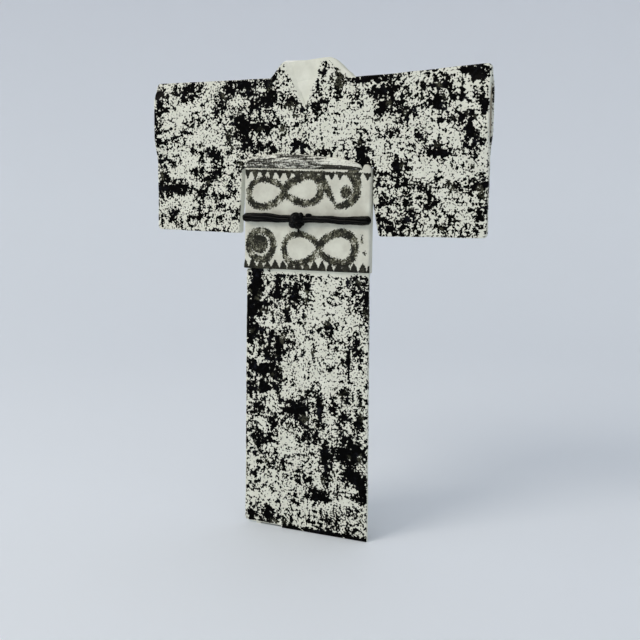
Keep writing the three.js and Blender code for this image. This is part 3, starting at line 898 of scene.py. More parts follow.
def ring_stroke(middle, half_wide, half_high, half):
    """A ring in one stroke: x, z and half width along it"""
    turn = np.linspace(0, 2 * np.pi, 120, endpoint=False)
    x, z = middle[0] + half_wide * np.cos(turn), middle[1] + half_high * np.sin(turn)
    return np.stack([x, z, half + 0.3 * swell(x, z, 15.0, 19)], 1)


def open_stroke(points):
    """A smooth stroke through a few points, in steps of about 0.8 mm: x, z and half width along it"""
    points = np.array(points, float)
    last = len(points) - 1
    line = []
    for i in range(last):
        a, b, c, d = (points[min(max(i + k, 0), last)] for k in (-1, 0, 1, 2))
        t = np.linspace(0, 1, max(2, int(np.linalg.norm((c - b)[:2]) / 0.8)), endpoint=False)[:, None]
        line.append(
            0.5 * (2 * b + (c - a) * t + (2 * a - 5 * b + 4 * c - d) * t**2 + (3 * b - a - 3 * c + d) * t**3)
        )
    return np.concatenate(line)


def tooth_row(first, last, count, tip, seed):
    """Teeth set by hand, each a little unlike the next: middle, height of the tip, half width"""
    middles = np.linspace(first, last, count)
    middles = middles + 0.8 * swell(middles, middles, 13.0, seed)
    tips = tip + 1.4 * swell(middles, middles, 10.0, seed + 1)
    halves = TOOTH_HALF + 0.7 * swell(middles, middles, 12.0, seed + 2)
    return list(zip(middles, tips, halves))


def brush_marks(x, z):
    """Distance to the nearest stroke's edge, below 0 inside it, and the place along and across it"""
    strokes = [figure_stroke(*figure) for figure in FIGURES]
    strokes.append(ring_stroke(*RING))
    strokes += [open_stroke(points) for points in OPEN_STROKES]
    best = np.full(len(x), 99.0)
    run_at, across_at = np.zeros(len(x)), np.zeros(len(x))
    places = np.stack([x, z], 1)
    pick = np.arange(len(x))
    for order, stroke in enumerate(strokes):
        line, width = stroke[:, :2], stroke[:, 2]
        along = np.gradient(line, axis=0)
        along /= np.linalg.norm(along, axis=1)[:, None] + 1e-9
        length = np.concatenate([[0], np.cumsum(np.linalg.norm(np.diff(line, axis=0), axis=1))])
        away = places[:, None, :] - line[None]
        far = np.sqrt((away**2).sum(2)) - width[None]
        nearest = far.argmin(1)
        gap, direction = away[pick, nearest], along[nearest]
        across = gap[:, 0] * direction[:, 1] - gap[:, 1] * direction[:, 0]
        closer = far[pick, nearest] < best
        best = np.where(closer, far[pick, nearest], best)
        run_at = np.where(closer, length[nearest] + 40 * order, run_at)
        across_at = np.where(closer, across, across_at)
    for cx, cz, radius in DOTS:
        far = np.hypot(x - cx, z - cz)
        closer = far - radius < best
        best = np.where(closer, far - radius, best)
        run_at = np.where(closer, (z - cz) * 1.4 + 500, run_at)
        across_at = np.where(closer, x - cx, across_at)
    return best, run_at, across_at


def tooth_gap(beside, past):
    """Distance to a tooth's edge, from how far a place lies beside it and past its tip"""
    return 0.85 * np.hypot(np.maximum(beside, 0), np.maximum(past, 0)) + np.minimum(beside, 0)


def tooth_edges(x, z):
    """Each place's distance to the nearest tooth's edge, below 0 inside it"""
    top = 324.7 - 0.0335 * x + 0.3 * swell(x, x, 14.0, 21)
    best = np.where(x < 50.5, np.abs(top - 1.3 - z) - 1.3 - 0.35 * swell(x, x, 6.0, 22), 9.0)
    for middle, tip, half in tooth_row(*HANGING_TEETH, 23):
        share = np.clip((top - z) / (top - tip), 0, 1)
        beside = np.abs(x - middle) - half * (1 - share) ** 0.85
        best = np.minimum(best, tooth_gap(beside, tip - z))
    best = np.maximum(best, z - top)
    for middle, tip, half in tooth_row(*STANDING_TEETH, 27):
        share = np.clip((z - TOOTH_FOOT) / (tip - TOOTH_FOOT), 0, 1)
        beside = np.abs(x - middle) - half * (1 - share**1.5) ** 0.9
        best = np.minimum(best, tooth_gap(beside, z - tip))
    return best


# The roll's upper edge from its left end to its right one: x, z
ROLL_TOP = (
    (-61.5, 332.0), (-60.8, 333.6), (-59.0, 335.2), (-53.3, 337.5), (-44.0, 338.7), (-26.0, 339.3),
    (-2.6, 338.5), (12.8, 337.0), (31.7, 335.0), (45.6, 331.6), (50.0, 329.4), (51.2, 327.4),
)


def roll_low(x):
    """Height of the roll's lower edge"""
    return 326.9 - 0.024 * x


def roll_high(x):
    """Height of the roll's upper edge"""
    return np.interp(x, *zip(*ROLL_TOP))


def roll_streaks(x, z):
    """Where more or less black was dragged along the roll, with a painted shade line along its lower edge on
    the right
    """
    tall = (z - roll_low(x)) / (roll_high(x) - roll_low(x) + 0.01)
    right = smooth(x, 2, 28)
    streak = 0.02 + 0.07 * smooth(-x, 20, 52)
    # On the right half the roll's upper part is kept paler, and the darker line along its lower edge is
    # painted shade
    streak = streak - 0.16 * right * smooth(tall, 0.3, 0.5) + 0.17 * right * (1 - smooth(tall, 0.28, 0.42))
    streak = streak - 0.14 * smooth(tall, 0.72, 0.85) * smooth(-x, 24, 34)
    streak = streak + 0.1 * np.exp(-((tall - 0.85) ** 2) / 0.006) * smooth(x, -30, -22) * smooth(-x, -2, 4)
    return streak + 0.12 * np.exp(-((tall - 0.82) ** 2) / 0.003) * smooth(x, 4, 12)


def build_roll(sizes):
    """The obi-age: a soft roll with lengthwise folds, bevelled at its left end"""

    def before(u, v):
        x = lerp(ROLL_TOP[0][0], ROLL_TOP[-1][0], u)
        low = roll_low(x) + 2.0 * smooth(-x, 58.5, 61.5)
        high = roll_high(x) + 0.35 * swell(x, x, 19.0, 15) * smooth(x, -58, -50)
        z = lerp(low, high, v)
        ends = np.minimum(1, np.sqrt(np.minimum(u, 1 - u) * 26 + 0.04))
        rounded = np.sqrt(np.maximum(0, 1 - (2 * v - 0.75) ** 2 / 1.6))
        y = -0.7 - 2.7 * rounded * ends
        folds = np.sin(2 * np.pi * (3.6 * v + 1.1 * swell(x, z * 3, 46.0, 16)))
        return x, y - 0.3 * folds * rounded * ends, z

    def behind(u, v):
        x, _, z = before(u, v)
        return x, np.full_like(x, -GAP), z

    points, faces = grid_solid(np.linspace(0, 1, 170), np.linspace(0, 1, 40), before, behind)
    piece = new_piece("roll_glazed", settle(points, sizes.lean), faces)
    x, _, z = points.T
    paint(piece, streak=roll_streaks(x, z))
    return piece


def cord_line(x):
    """Height of the cord's middle along the obi"""
    drop = smooth(x, -11.0, -1.0)
    return lerp(283.6, 282.8, drop) + 0.35 * np.sin(x * 0.11) + 0.2 * np.sin(x * 0.31)


def cord_tree(material):
    """Geometry nodes that lay strands side by side along a path, tapered round at both ends"""
    tree = bpy.data.node_groups.new("Rolled cord of strands", "GeometryNodeTree")
    tree.interface.new_socket("Path", in_out="INPUT", socket_type="NodeSocketGeometry")
    for name, kind, value in (
        ("Radius", "NodeSocketFloat", 0.003),
        ("Strands", "NodeSocketInt", 5),
        ("Groove", "NodeSocketFloat", 0.3),
        ("Twist", "NodeSocketFloat", 2.6),
        ("Steps", "NodeSocketInt", 240),
    ):
        tree.interface.new_socket(name, in_out="INPUT", socket_type=kind).default_value = value
    tree.interface.new_socket("Cord", in_out="OUTPUT", socket_type="NodeSocketGeometry")
    given = add_node(tree, "NodeGroupInput")
    curve = add_node(tree, "GeometryNodeMeshToCurve", {"Mesh": given.outputs["Path"]})
    curve = add_node(tree, "GeometryNodeResampleCurve", {"Curve": curve, "Count": given.outputs["Steps"]})
    share = add_node(tree, "GeometryNodeSplineParameter")
    turned = add_node(
        tree,
        "ShaderNodeMath",
        {0: share.outputs["Factor"], 1: given.outputs["Twist"]},
        operation="MULTIPLY",
    )
    curve = add_node(tree, "GeometryNodeSetCurveTilt", {"Curve": curve, "Tilt": turned})
    other = add_node(tree, "ShaderNodeMath", {0: 1.0, 1: share.outputs["Factor"]}, operation="SUBTRACT")
    near = add_node(tree, "ShaderNodeMath", {0: share.outputs["Factor"], 1: other}, operation="MINIMUM")
    close = add_node(
        tree, "ShaderNodeMapRange", {"Value": near, "From Max": 0.028, "To Min": 1.0, "To Max": 0.0}
    )
    square = add_node(tree, "ShaderNodeMath", {0: close, 1: 2.0}, operation="POWER")
    left = add_node(tree, "ShaderNodeMath", {0: 1.01, 1: square}, operation="SUBTRACT")
    taper = add_node(tree, "ShaderNodeMath", {0: left}, operation="SQRT")
    girth = add_node(tree, "GeometryNodeInputNamedAttribute", {"Name": "girth"}, data_type="FLOAT")
    taper = add_node(tree, "ShaderNodeMath", {0: taper, 1: girth}, operation="MULTIPLY")
    ring = add_node(
        tree, "GeometryNodeCurvePrimitiveCircle", {"Resolution": 50, "Radius": given.outputs["Radius"]}
    )
    where = add_node(tree, "GeometryNodeInputPosition")
    parts = add_node(tree, "ShaderNodeSeparateXYZ", {0: where})
    angle = add_node(
        tree, "ShaderNodeMath", {0: parts.outputs[1], 1: parts.outputs[0]}, operation="ARCTAN2"
    )
    half = add_node(tree, "ShaderNodeMath", {0: given.outputs["Strands"], 1: 0.5}, operation="MULTIPLY")
    lobes = add_node(tree, "ShaderNodeMath", {0: angle, 1: half}, operation="MULTIPLY")
    wave = add_node(tree, "ShaderNodeMath", {0: lobes}, operation="SINE")
    bump = add_node(tree, "ShaderNodeMath", {0: wave}, operation="ABSOLUTE")
    bump = add_node(tree, "ShaderNodeMath", {0: bump, 1: 0.6}, operation="POWER")
    full = add_node(tree, "ShaderNodeMath", {0: bump, 1: 1.0}, operation="SUBTRACT")
    scale = add_node(
        tree, "ShaderNodeMath", {0: full, 1: given.outputs["Groove"], 2: 1.0}, operation="MULTIPLY_ADD"
    )
    moved = add_node(tree, "ShaderNodeVectorMath", {0: where, "Scale": scale}, operation="SCALE")
    ring = add_node(tree, "GeometryNodeSetPosition", {"Geometry": ring, "Position": moved})
    body = add_node(
        tree,
        "GeometryNodeCurveToMesh",
        {"Curve": curve, "Profile Curve": ring, "Scale": taper, "Fill Caps": True},
    )
    real = add_node(tree, "GeometryNodeRealizeInstances", {"Geometry": body})
    glazed = add_node(tree, "GeometryNodeSetMaterial", {"Geometry": real, "Material": material})
    add_node(tree, "NodeGroupOutput", {"Cord": glazed})
    return tree


# The knot's middle and half size, and the cord's loop and end beside it, middle and half size of each
KNOT_MIDDLE = (-7.0, -7.8, 281.3)
KNOT_HALF = (7.9, 5.4, 7.5)
KNOT_LUMPS = (
    ((-1.6, -9.6, 286.0), (2.4, 2.6, 3.0)),
    ((4.6, -7.0, 286.6), (3.0, 2.6, 1.6)),
    ((-5.9, -5.4, 273.2), (0.8, 1.6, 1.9)),
)
# The cord's girth along it, against its radius: x, share
CORD_GIRTH = (
    (-60, 1.15), (-50, 1.3), (-35, 1.22), (-20, 1.05), (0, 1.0),
    (25, 0.98), (40, 1.08), (54, 1.2), (61, 1.15),
)


def unit_ball(turns, rings):
    """A closed ball of radius 1: its points as an array, and its faces"""
    points = [(0.0, 0.0, -1.0)]
    for lat in (math.pi * (j / rings - 0.5) for j in range(1, rings)):
        for lon in (2 * math.pi * i / turns for i in range(turns)):
            points.append((math.cos(lat) * math.cos(lon), math.cos(lat) * math.sin(lon), math.sin(lat)))
    points.append((0.0, 0.0, 1.0))
    last = len(points) - 1
    faces = [(0, 1 + (i + 1) % turns, 1 + i) for i in range(turns)]
    for j in range(rings - 2):
        a, b = 1 + j * turns, 1 + (j + 1) * turns
        for i in range(turns):
            k = (i + 1) % turns
            faces.append((a + i, a + k, b + k, b + i))
    faces += [(last, last - turns + i, last - turns + (i + 1) % turns) for i in range(turns)]
    return np.array(points), faces


def knot_ball(sizes):
    """The knot: a ball of strands wound over one another"""
    ball, faces = unit_ball(72, 48)
    x, y, z = ball.T
    wound = np.abs(np.sin(2.0 * np.arctan2(z + 0.25, x * 0.9) + 1.9 * y + 0.7)) ** 0.55
    bulge = 0.8 + 0.2 * wound + 0.05 * np.sin(3 * x + 2 * z)
    points = ball * bulge[:, None] * KNOT_HALF + KNOT_MIDDLE
    return new_piece("knot", settle(points, sizes.lean), faces)


def bead(middle, half, sizes):
    """A small closed lump of clay"""
    ball, faces = unit_ball(24, 14)
    return new_piece("lump", settle(ball * half + middle, sizes.lean), faces)


def build_cord(sizes, material):
    """The obi-jime: strands rolled together along the obi, knotted in the middle"""
    x = np.linspace(-61.0, 63.0, 100)
    y = np.full_like(x, -OBI_FRONT - 0.35 - sizes.cord_radius * 0.98)
    path = bpy.data.meshes.new("cord_path")
    spots = settle(np.stack([x, y, cord_line(x)], 1), sizes.lean)
    path.from_pydata([tuple(p) for p in spots], [(i, i + 1) for i in range(len(x) - 1)], [])
    girth = np.interp(x, *zip(*CORD_GIRTH)) * (1 + 0.05 * swell(x, x, 9.0, 31))
    path.attributes.new("girth", "FLOAT", "POINT").data.foreach_set("value", girth.astype(np.float32))
    piece = bpy.data.objects.new("cord_glazed", path)
    bpy.context.scene.collection.objects.link(piece)
    step = piece.modifiers.new("strands", "NODES")
    tree = cord_tree(material)
    wanted = {"Radius": sizes.cord_radius / 1000, "Strands": sizes.cord_strands, "Twist": sizes.cord_twist}
    step.node_group = tree
    for item in tree.interface.items_tree:
        if item.in_out == "INPUT" and item.name in wanted:
            step[item.identifier] = wanted[item.name]
    evaluated_copy(piece)
    merge_clay(piece, knot_ball(sizes), "UNION")
    for middle, half in KNOT_LUMPS:
        merge_clay(piece, bead(middle, half, sizes), "UNION")
    return piece


# Glazes


def new_glaze(name):
    """A material with an empty tree, its principled shader and output"""
    material = bpy.data.materials.new(name)
    material.use_nodes = True
    tree = material.node_tree
    tree.nodes.clear()
    shader = add_node(tree, "ShaderNodeBsdfPrincipled", {"IOR": 1.5})
    add_node(tree, "ShaderNodeOutputMaterial", {"Surface": shader})
    return material, tree, shader


def upright_coordinates(tree, lean):
    """Upright millimetres at each place, so that the patterns run true to the sculpture"""
    right, back = place()
    c, s = math.cos(lean), math.sin(lean)
    here = add_node(tree, "ShaderNodeTexCoord")
    return add_node(
        tree,
        "ShaderNodeMapping",
        {
            "Vector": here.outputs["Object"],
            "Scale": (1000, 1000, 1000),
            "Rotation": (lean, 0, 0),
            "Location": (-right, -back * c, -back * s),
        },
    )


def kimono_glaze(sizes, colours):
    """Stoneware under an off-white satin glaze, with glossy black slip dabbed on in ragged patches"""
    material, tree, shader = new_glaze("Stoneware, off-white glaze with dabbed black slip")
    where = upright_coordinates(tree, sizes.lean)
    slip = add_node(tree, "ShaderNodeAttribute", attribute_name="slip").outputs["Fac"]
    bare = add_node(tree, "ShaderNodeAttribute", attribute_name="bare").outputs["Fac"]
    # Dabs 3 to 5 mm wide gather in short runs down and across, as a cloth lays them, with specks of 2 mm
    # between them
    drawn_down = add_node(tree, "ShaderNodeMapping", {"Vector": where, "Scale": (0.2, 0.2, 0.075)})
    drawn_over = add_node(
        tree, "ShaderNodeMapping", {"Vector": where, "Scale": (0.07, 0.2, 0.2), "Location": (7, 3, 5)}
    )
    patches = add_node(tree, "ShaderNodeTexNoise", {"Vector": where, "Scale": 1 / 15, "Detail": 1.0})
    down = add_node(tree, "ShaderNodeTexNoise", {"Vector": drawn_down, "Scale": 1.0, "Detail": 1.0})
    over = add_node(tree, "ShaderNodeTexNoise", {"Vector": drawn_over, "Scale": 1.0, "Detail": 1.0})
    dabs = add_node(
        tree, "ShaderNodeTexNoise", {"Vector": where, "Scale": 1 / 3.9, "Detail": 2.5, "Roughness": 0.7}
    )
    specks = add_node(
        tree, "ShaderNodeTexNoise", {"Vector": where, "Scale": 1 / 1.8, "Detail": 1.0, "Roughness": 0.5}
    )
    runs = add_node(tree, "ShaderNodeMath", {0: down, 1: over}, operation="MAXIMUM")
    total = add_node(tree, "ShaderNodeMath", {0: slip, 1: 0.56, 2: colours.cover}, operation="MULTIPLY_ADD")
    for pattern, weight in ((patches, 0.5), (runs, 0.5), (dabs, 0.85), (specks, 0.42)):
        total = add_node(
            tree, "ShaderNodeMath", {0: pattern, 1: weight, 2: total}, operation="MULTIPLY_ADD"
        )
    black = add_node(tree, "ShaderNodeMapRange", {0: total, 1: 1.158, 2: 1.172})
    thick = add_node(tree, "ShaderNodeMapRange", {0: total, 1: 1.163, 2: 1.205})
    scattered = add_node(tree, "ShaderNodeMath", {0: slip, 1: 0.3, 2: specks}, operation="MULTIPLY_ADD")
    scattered = add_node(tree, "ShaderNodeMath", {0: dabs, 1: 0.35, 2: scattered}, operation="MULTIPLY_ADD")
    scattered = add_node(tree, "ShaderNodeMapRange", {0: scattered, 1: 0.748, 2: 0.766})
    black = add_node(tree, "ShaderNodeMath", {0: black, 1: scattered}, operation="MAXIMUM")
    thick = add_node(tree, "ShaderNodeMath", {0: thick, 1: scattered}, operation="MAXIMUM")
    # The glaze is a little warmer where it lies thin, and the slip turns olive there
    tone = add_node(
        tree, "ShaderNodeTexNoise", {"Vector": where, "Scale": 1 / 11, "Detail": 3.0, "Roughness": 0.6}
    )
    tone = add_node(tree, "ShaderNodeMapRange", {0: tone, 1: 0.3, 2: 0.7})
    white = add_node(
        tree,
        "ShaderNodeMix",
        {0: tone, 6: colour(colours.white_thin), 7: colour(colours.white)},
        data_type="RGBA",
    )
    dark = add_node(
        tree,
        "ShaderNodeMix",
        {0: thick, 6: colour(colours.thin_black), 7: colour(colours.black)},
        data_type="RGBA",
    )
    # Along the collar's top edge a brighter white is mixed in as a painted highlight, where the edge catches
    # the light from above
    rim = add_node(tree, "ShaderNodeAttribute", attribute_name="rim").outputs["Fac"]
    white = add_node(tree, "ShaderNodeMix", {0: rim, 6: white, 7: colour(colours.rim)}, data_type="RGBA")
    # In patches about 9 mm across the black is mixed towards a blue-grey painted sheen, a reflection on the
    # glossy glaze
    painted_sheen = add_node(
        tree, "ShaderNodeTexNoise", {"Vector": where, "Scale": 1 / 9, "Detail": 4.0, "Roughness": 0.7}
    )
    painted_sheen = add_node(tree, "ShaderNodeMapRange", {0: painted_sheen, 1: 0.55, 2: 0.75, 4: 0.5})
    dark = add_node(tree, "ShaderNodeMix", {0: painted_sheen, 6: dark, 7: colour(colours.painted_sheen)}, data_type="RGBA")
    # In a few places 10 mm wide the dab was nearly dry, and left a worn grey olive in flecks of 2 mm
    apart = add_node(tree, "ShaderNodeMapping", {"Vector": where, "Location": (31, 17, 5)})
    dry = add_node(tree, "ShaderNodeTexNoise", {"Vector": apart, "Scale": 1 / 13, "Detail": 1.0})
    dry = add_node(tree, "ShaderNodeMapRange", {0: dry, 1: 0.63, 2: 0.71})
    flecks = add_node(
        tree, "ShaderNodeTexNoise", {"Vector": apart, "Scale": 1 / 2.0, "Detail": 2.0, "Roughness": 0.7}
    )
    flecks = add_node(tree, "ShaderNodeMapRange", {0: flecks, 1: 0.42, 2: 0.6})
    dry = add_node(tree, "ShaderNodeMath", {0: dry, 1: flecks}, operation="MULTIPLY")
    dark = add_node(tree, "ShaderNodeMix", {0: dry, 6: dark, 7: colour(colours.worn)}, data_type="RGBA")
    painted = add_node(tree, "ShaderNodeMix", {0: black, 6: white, 7: dark}, data_type="RGBA")
    final = add_node(
        tree, "ShaderNodeMix", {0: bare, 6: painted, 7: colour(colours.bare)}, data_type="RGBA"
    )
    tree.links.new(final.outputs[2], shader.inputs["Base Color"])
    shader.inputs["Specular IOR Level"].default_value = 0.03
    satin = add_node(tree, "ShaderNodeMapRange", {0: black, 3: 0.5, 4: 0.3})
    dull = add_node(tree, "ShaderNodeMapRange", {0: bare, 3: satin, 4: 0.88})
    tree.links.new(dull.outputs[0], shader.inputs["Roughness"])
    # The slip stands a tenth of a millimetre proud, over clay that the slab roller left slightly uneven
    pits = add_node(
        tree, "ShaderNodeTexNoise", {"Vector": where, "Scale": 1 / 4.5, "Detail": 3.0, "Roughness": 0.6}
    )
    height = add_node(tree, "ShaderNodeMath", {0: pits, 1: 0.32}, operation="MULTIPLY")
    height = add_node(tree, "ShaderNodeMath", {0: black, 1: 0.1, 2: height}, operation="MULTIPLY_ADD")
    bump = add_node(tree, "ShaderNodeBump", {"Height": height, "Strength": 1.0, "Distance": 0.001})
    tree.links.new(bump.outputs[0], shader.inputs["Normal"])
    return material


def obi_glaze(sizes, colours):
    """Stoneware under a plain off-white satin glaze, brushed with thin iron black that leaves dry streaks"""
    material, tree, shader = new_glaze("Stoneware, off-white glaze with brushed iron black")
    where = upright_coordinates(tree, sizes.lean)
    mark = add_node(tree, "ShaderNodeAttribute", attribute_name="mark").outputs["Fac"]
    tooth = add_node(tree, "ShaderNodeAttribute", attribute_name="tooth").outputs["Fac"]
    run = add_node(tree, "ShaderNodeAttribute", attribute_name="run").outputs["Fac"]
    across = add_node(tree, "ShaderNodeAttribute", attribute_name="across").outputs["Fac"]
    # The dry brush frays each stroke's edge by 1 to 2 mm and leaves hairs of 0.6 mm along it
    fray = add_node(
        tree, "ShaderNodeTexNoise", {"Vector": where, "Scale": 1 / 1.5, "Detail": 2.0, "Roughness": 0.6}
    )
    blots = add_node(tree, "ShaderNodeTexNoise", {"Vector": where, "Scale": 1 / 6, "Detail": 1.0})
    along = add_node(tree, "ShaderNodeMath", {0: run, 1: 0.1}, operation="MULTIPLY")
    beside = add_node(tree, "ShaderNodeMath", {0: across, 1: 1.6}, operation="MULTIPLY")
    streaked = add_node(tree, "ShaderNodeCombineXYZ", {0: along, 1: beside})
    hairs = add_node(
        tree, "ShaderNodeTexNoise", {"Vector": streaked, "Scale": 1.0, "Detail": 2.0, "Roughness": 0.6}
    )
    edge = add_node(tree, "ShaderNodeMapRange", {0: fray, 1: 0.25, 2: 0.75, 3: -1.9, 4: 1.5}, clamp=False)
    edge = add_node(tree, "ShaderNodeMath", {0: mark, 1: edge}, operation="ADD")
    stroke = add_node(tree, "ShaderNodeMapRange", {0: edge, 1: 0.25, 2: -0.3})
    small_edge = add_node(
        tree, "ShaderNodeMapRange", {0: fray, 1: 0.25, 2: 0.75, 3: -0.7, 4: 0.8}, clamp=False
    )
    small_edge = add_node(tree, "ShaderNodeMath", {0: tooth, 1: small_edge}, operation="ADD")
    teeth = add_node(tree, "ShaderNodeMapRange", {0: small_edge, 1: 0.2, 2: -0.2})
    dry = add_node(tree, "ShaderNodeMath", {0: blots, 1: 0.55}, operation="MULTIPLY")
    dry = add_node(tree, "ShaderNodeMath", {0: fray, 1: 0.5, 2: dry}, operation="MULTIPLY_ADD")
    dry = add_node(tree, "ShaderNodeMath", {0: hairs, 1: 0.45, 2: dry}, operation="MULTIPLY_ADD")
    full = add_node(tree, "ShaderNodeMapRange", {0: dry, 1: 0.9, 2: 0.855})
    stroke = add_node(tree, "ShaderNodeMath", {0: stroke, 1: full}, operation="MULTIPLY")
    cover = add_node(tree, "ShaderNodeMath", {0: stroke, 1: teeth}, operation="MAXIMUM")
    pale = add_node(tree, "ShaderNodeMapRange", {0: dry, 1: 0.71, 2: 0.87})
    worn = add_node(tree, "ShaderNodeMapRange", {0: dry, 1: 0.74, 2: 0.96, 4: 0.35})
    pale = add_node(tree, "ShaderNodeMix", {0: teeth, 2: pale, 3: worn})
    ink = add_node(
        tree,
        "ShaderNodeMix",
        {0: pale, 6: colour(colours.brush_dark), 7: colour(colours.brush_light)},
        data_type="RGBA",
    )
    tone = add_node(
        tree, "ShaderNodeTexNoise", {"Vector": where, "Scale": 1 / 14, "Detail": 3.0, "Roughness": 0.6}
    )
    tone = add_node(tree, "ShaderNodeMapRange", {0: tone, 1: 0.3, 2: 0.7})
    white = add_node(
        tree,
        "ShaderNodeMix",
        {0: tone, 6: colour(colours.obi_white_thin), 7: colour(colours.obi_white)},
        data_type="RGBA",
    )
    final = add_node(tree, "ShaderNodeMix", {0: cover, 6: white, 7: ink}, data_type="RGBA")
    tree.links.new(final.outputs[2], shader.inputs["Base Color"])
    shader.inputs["Roughness"].default_value = 0.48
    shader.inputs["Specular IOR Level"].default_value = 0.15
    pits = add_node(
        tree, "ShaderNodeTexNoise", {"Vector": where, "Scale": 1 / 5, "Detail": 3.0, "Roughness": 0.6}
    )
    height = add_node(tree, "ShaderNodeMath", {0: pits, 1: 0.3}, operation="MULTIPLY")
    height = add_node(tree, "ShaderNodeMath", {0: cover, 1: 0.05, 2: height}, operation="MULTIPLY_ADD")
    bump = add_node(tree, "ShaderNodeBump", {"Height": height, "Strength": 1.0, "Distance": 0.001})
    tree.links.new(bump.outputs[0], shader.inputs["Normal"])
    return material


def roll_glaze(sizes, colours):
    """Stoneware under an off-white glaze, with thin black dragged along it in hair lines"""
    material, tree, shader = new_glaze("Stoneware, thin black dragged over off-white glaze")
    where = upright_coordinates(tree, sizes.lean)
    # Dragged black, together with the painted shade along the roll's lower edge
    streak = add_node(tree, "ShaderNodeAttribute", attribute_name="streak").outputs["Fac"]
    # Hair lines 0.8 mm apart run 10 mm along the roll, broken by flecks of 1.5 mm
    drawn = add_node(
        tree, "ShaderNodeMapping", {"Vector": where, "Scale": (0.1, 0.1, 1.2), "Rotation": (0, -0.03, 0)}
    )
    hairs = add_node(
        tree, "ShaderNodeTexNoise", {"Vector": drawn, "Scale": 1.0, "Detail": 3.0, "Roughness": 0.65}
    )
    flecks = add_node(
        tree, "ShaderNodeTexNoise", {"Vector": where, "Scale": 1 / 1.7, "Detail": 2.0, "Roughness": 0.6}
    )
    total = add_node(tree, "ShaderNodeMath", {0: hairs, 1: 0.75, 2: streak}, operation="MULTIPLY_ADD")
    total = add_node(tree, "ShaderNodeMath", {0: flecks, 1: 0.5, 2: total}, operation="MULTIPLY_ADD")
    share = add_node(tree, "ShaderNodeMapRange", {0: total, 1: 0.56, 2: 0.70})
    tint = add_node(
        tree,
        "ShaderNodeMix",
        {0: share, 6: colour(colours.white), 7: colour(colours.dragged_black_and_shade)},
        data_type="RGBA",
    )
    tree.links.new(tint.outputs[2], shader.inputs["Base Color"])
    shader.inputs["Roughness"].default_value = 0.4
    shader.inputs["Specular IOR Level"].default_value = 0.2
    height = add_node(tree, "ShaderNodeMath", {0: hairs, 1: 0.3}, operation="MULTIPLY")
    bump = add_node(tree, "ShaderNodeBump", {"Height": height, "Strength": 1.0, "Distance": 0.001})
    tree.links.new(bump.outputs[0], shader.inputs["Normal"])
    return material


def cord_glaze(sizes, colours):
    """Stoneware under thick black glaze, wet-looking and pooled in the grooves"""
    material, tree, shader = new_glaze("Stoneware, thick glossy black glaze")
    where = upright_coordinates(tree, sizes.lean)
    pooled = add_node(
        tree, "ShaderNodeTexNoise", {"Vector": where, "Scale": 1 / 5, "Detail": 3.0, "Roughness": 0.6}
    )
    share = add_node(tree, "ShaderNodeMapRange", {0: pooled, 1: 0.45, 2: 0.7})
    tint = add_node(
        tree,
        "ShaderNodeMix",
        {0: share, 6: colour(colours.black), 7: colour(colours.pooled)},
        data_type="RGBA",
    )
    tree.links.new(tint.outputs[2], shader.inputs["Base Color"])
    shader.inputs["Specular IOR Level"].default_value = 0.07
    rough = add_node(tree, "ShaderNodeMapRange", {0: pooled, 1: 0.3, 2: 0.7, 3: 0.08, 4: 0.2})
    tree.links.new(rough.outputs[0], shader.inputs["Roughness"])
    lumps = add_node(tree, "ShaderNodeTexNoise", {"Vector": where, "Scale": 1 / 2.4, "Detail": 2.0})
    height = add_node(tree, "ShaderNodeMath", {0: lumps, 1: 0.3}, operation="MULTIPLY")
    bump = add_node(tree, "ShaderNodeBump", {"Height": height, "Strength": 1.0, "Distance": 0.001})
    tree.links.new(bump.outputs[0], shader.inputs["Normal"])
    return material


def sweep_paint(look):
    """Matt painted board, bent up into a backdrop all round, with painted shade that darkens it a little
    towards its top
    """
    material, tree, shader = new_glaze("Matt painted board")
    here = add_node(tree, "ShaderNodeTexCoord")
    parts = add_node(tree, "ShaderNodeSeparateXYZ", {0: here.outputs["Object"]})
    # Painted shade: the board darkens from a quarter of a metre up to a metre and a quarter
    high = add_node(tree, "ShaderNodeMapRange", {0: parts.outputs[2], 1: 0.25, 2: 1.25})
    tint = add_node(
        tree, "ShaderNodeMix", {0: high, 6: colour(look.sweep), 7: colour(look.sweep_shaded_top)}, data_type="RGBA"
    )
    tree.links.new(tint.outputs[2], shader.inputs["Base Color"])
    shader.inputs["Roughness"].default_value = 0.62
    shader.inputs["Specular IOR Level"].default_value = 0.3
    return material


# The studio


def sweep_bowl(look):
    """A round floor that curves up into a wall, so that every view has the same pale ground"""
    profile = [(0.05, 0.0), (0.4, 0.0), (0.9, 0.0)]
    profile += [(0.9 + 1.5 * math.sin(t), 1.5 - 1.5 * math.cos(t)) for t in np.radians(np.arange(4, 91, 4))]
    profile += [(2.4, 2.4)]
    turns = 96
    points = [(0.0, 0.0, 0.0)]
    angles = np.linspace(0, 2 * np.pi, turns + 1)[:-1]
    for radius, z in profile:
        points += [(radius * math.cos(t), radius * math.sin(t), z) for t in angles]
    faces = [(0, 1 + i, 1 + (i + 1) % turns) for i in range(turns)]
    for j in range(len(profile) - 1):
        a, b = 1 + j * turns, 1 + (j + 1) * turns
        faces += [(a + i, b + i, b + (i + 1) % turns, a + (i + 1) % turns) for i in range(turns)]
    bowl = new_piece("sweep", points, faces, 80)
    bowl.data.materials.append(sweep_paint(look))
    return bowl


def area_light(name, spot, aim, size, power, tint):
    """A soft rectangular light at a spot, turned to face its aim"""
    data = bpy.data.lights.new(name, "AREA")
    data.shape = "RECTANGLE"
    data.size, data.size_y = size
    data.energy = power
    data.color = colour(tint)[:3]
    lamp = bpy.data.objects.new(name, data)
    bpy.context.scene.collection.objects.link(lamp)
    spot = Vector(spot)
    turned = (Vector(aim) - spot).to_track_quat("-Z", "Y").to_matrix().to_4x4()
    lamp.matrix_world = Matrix.Translation(spot) @ turned
    return lamp


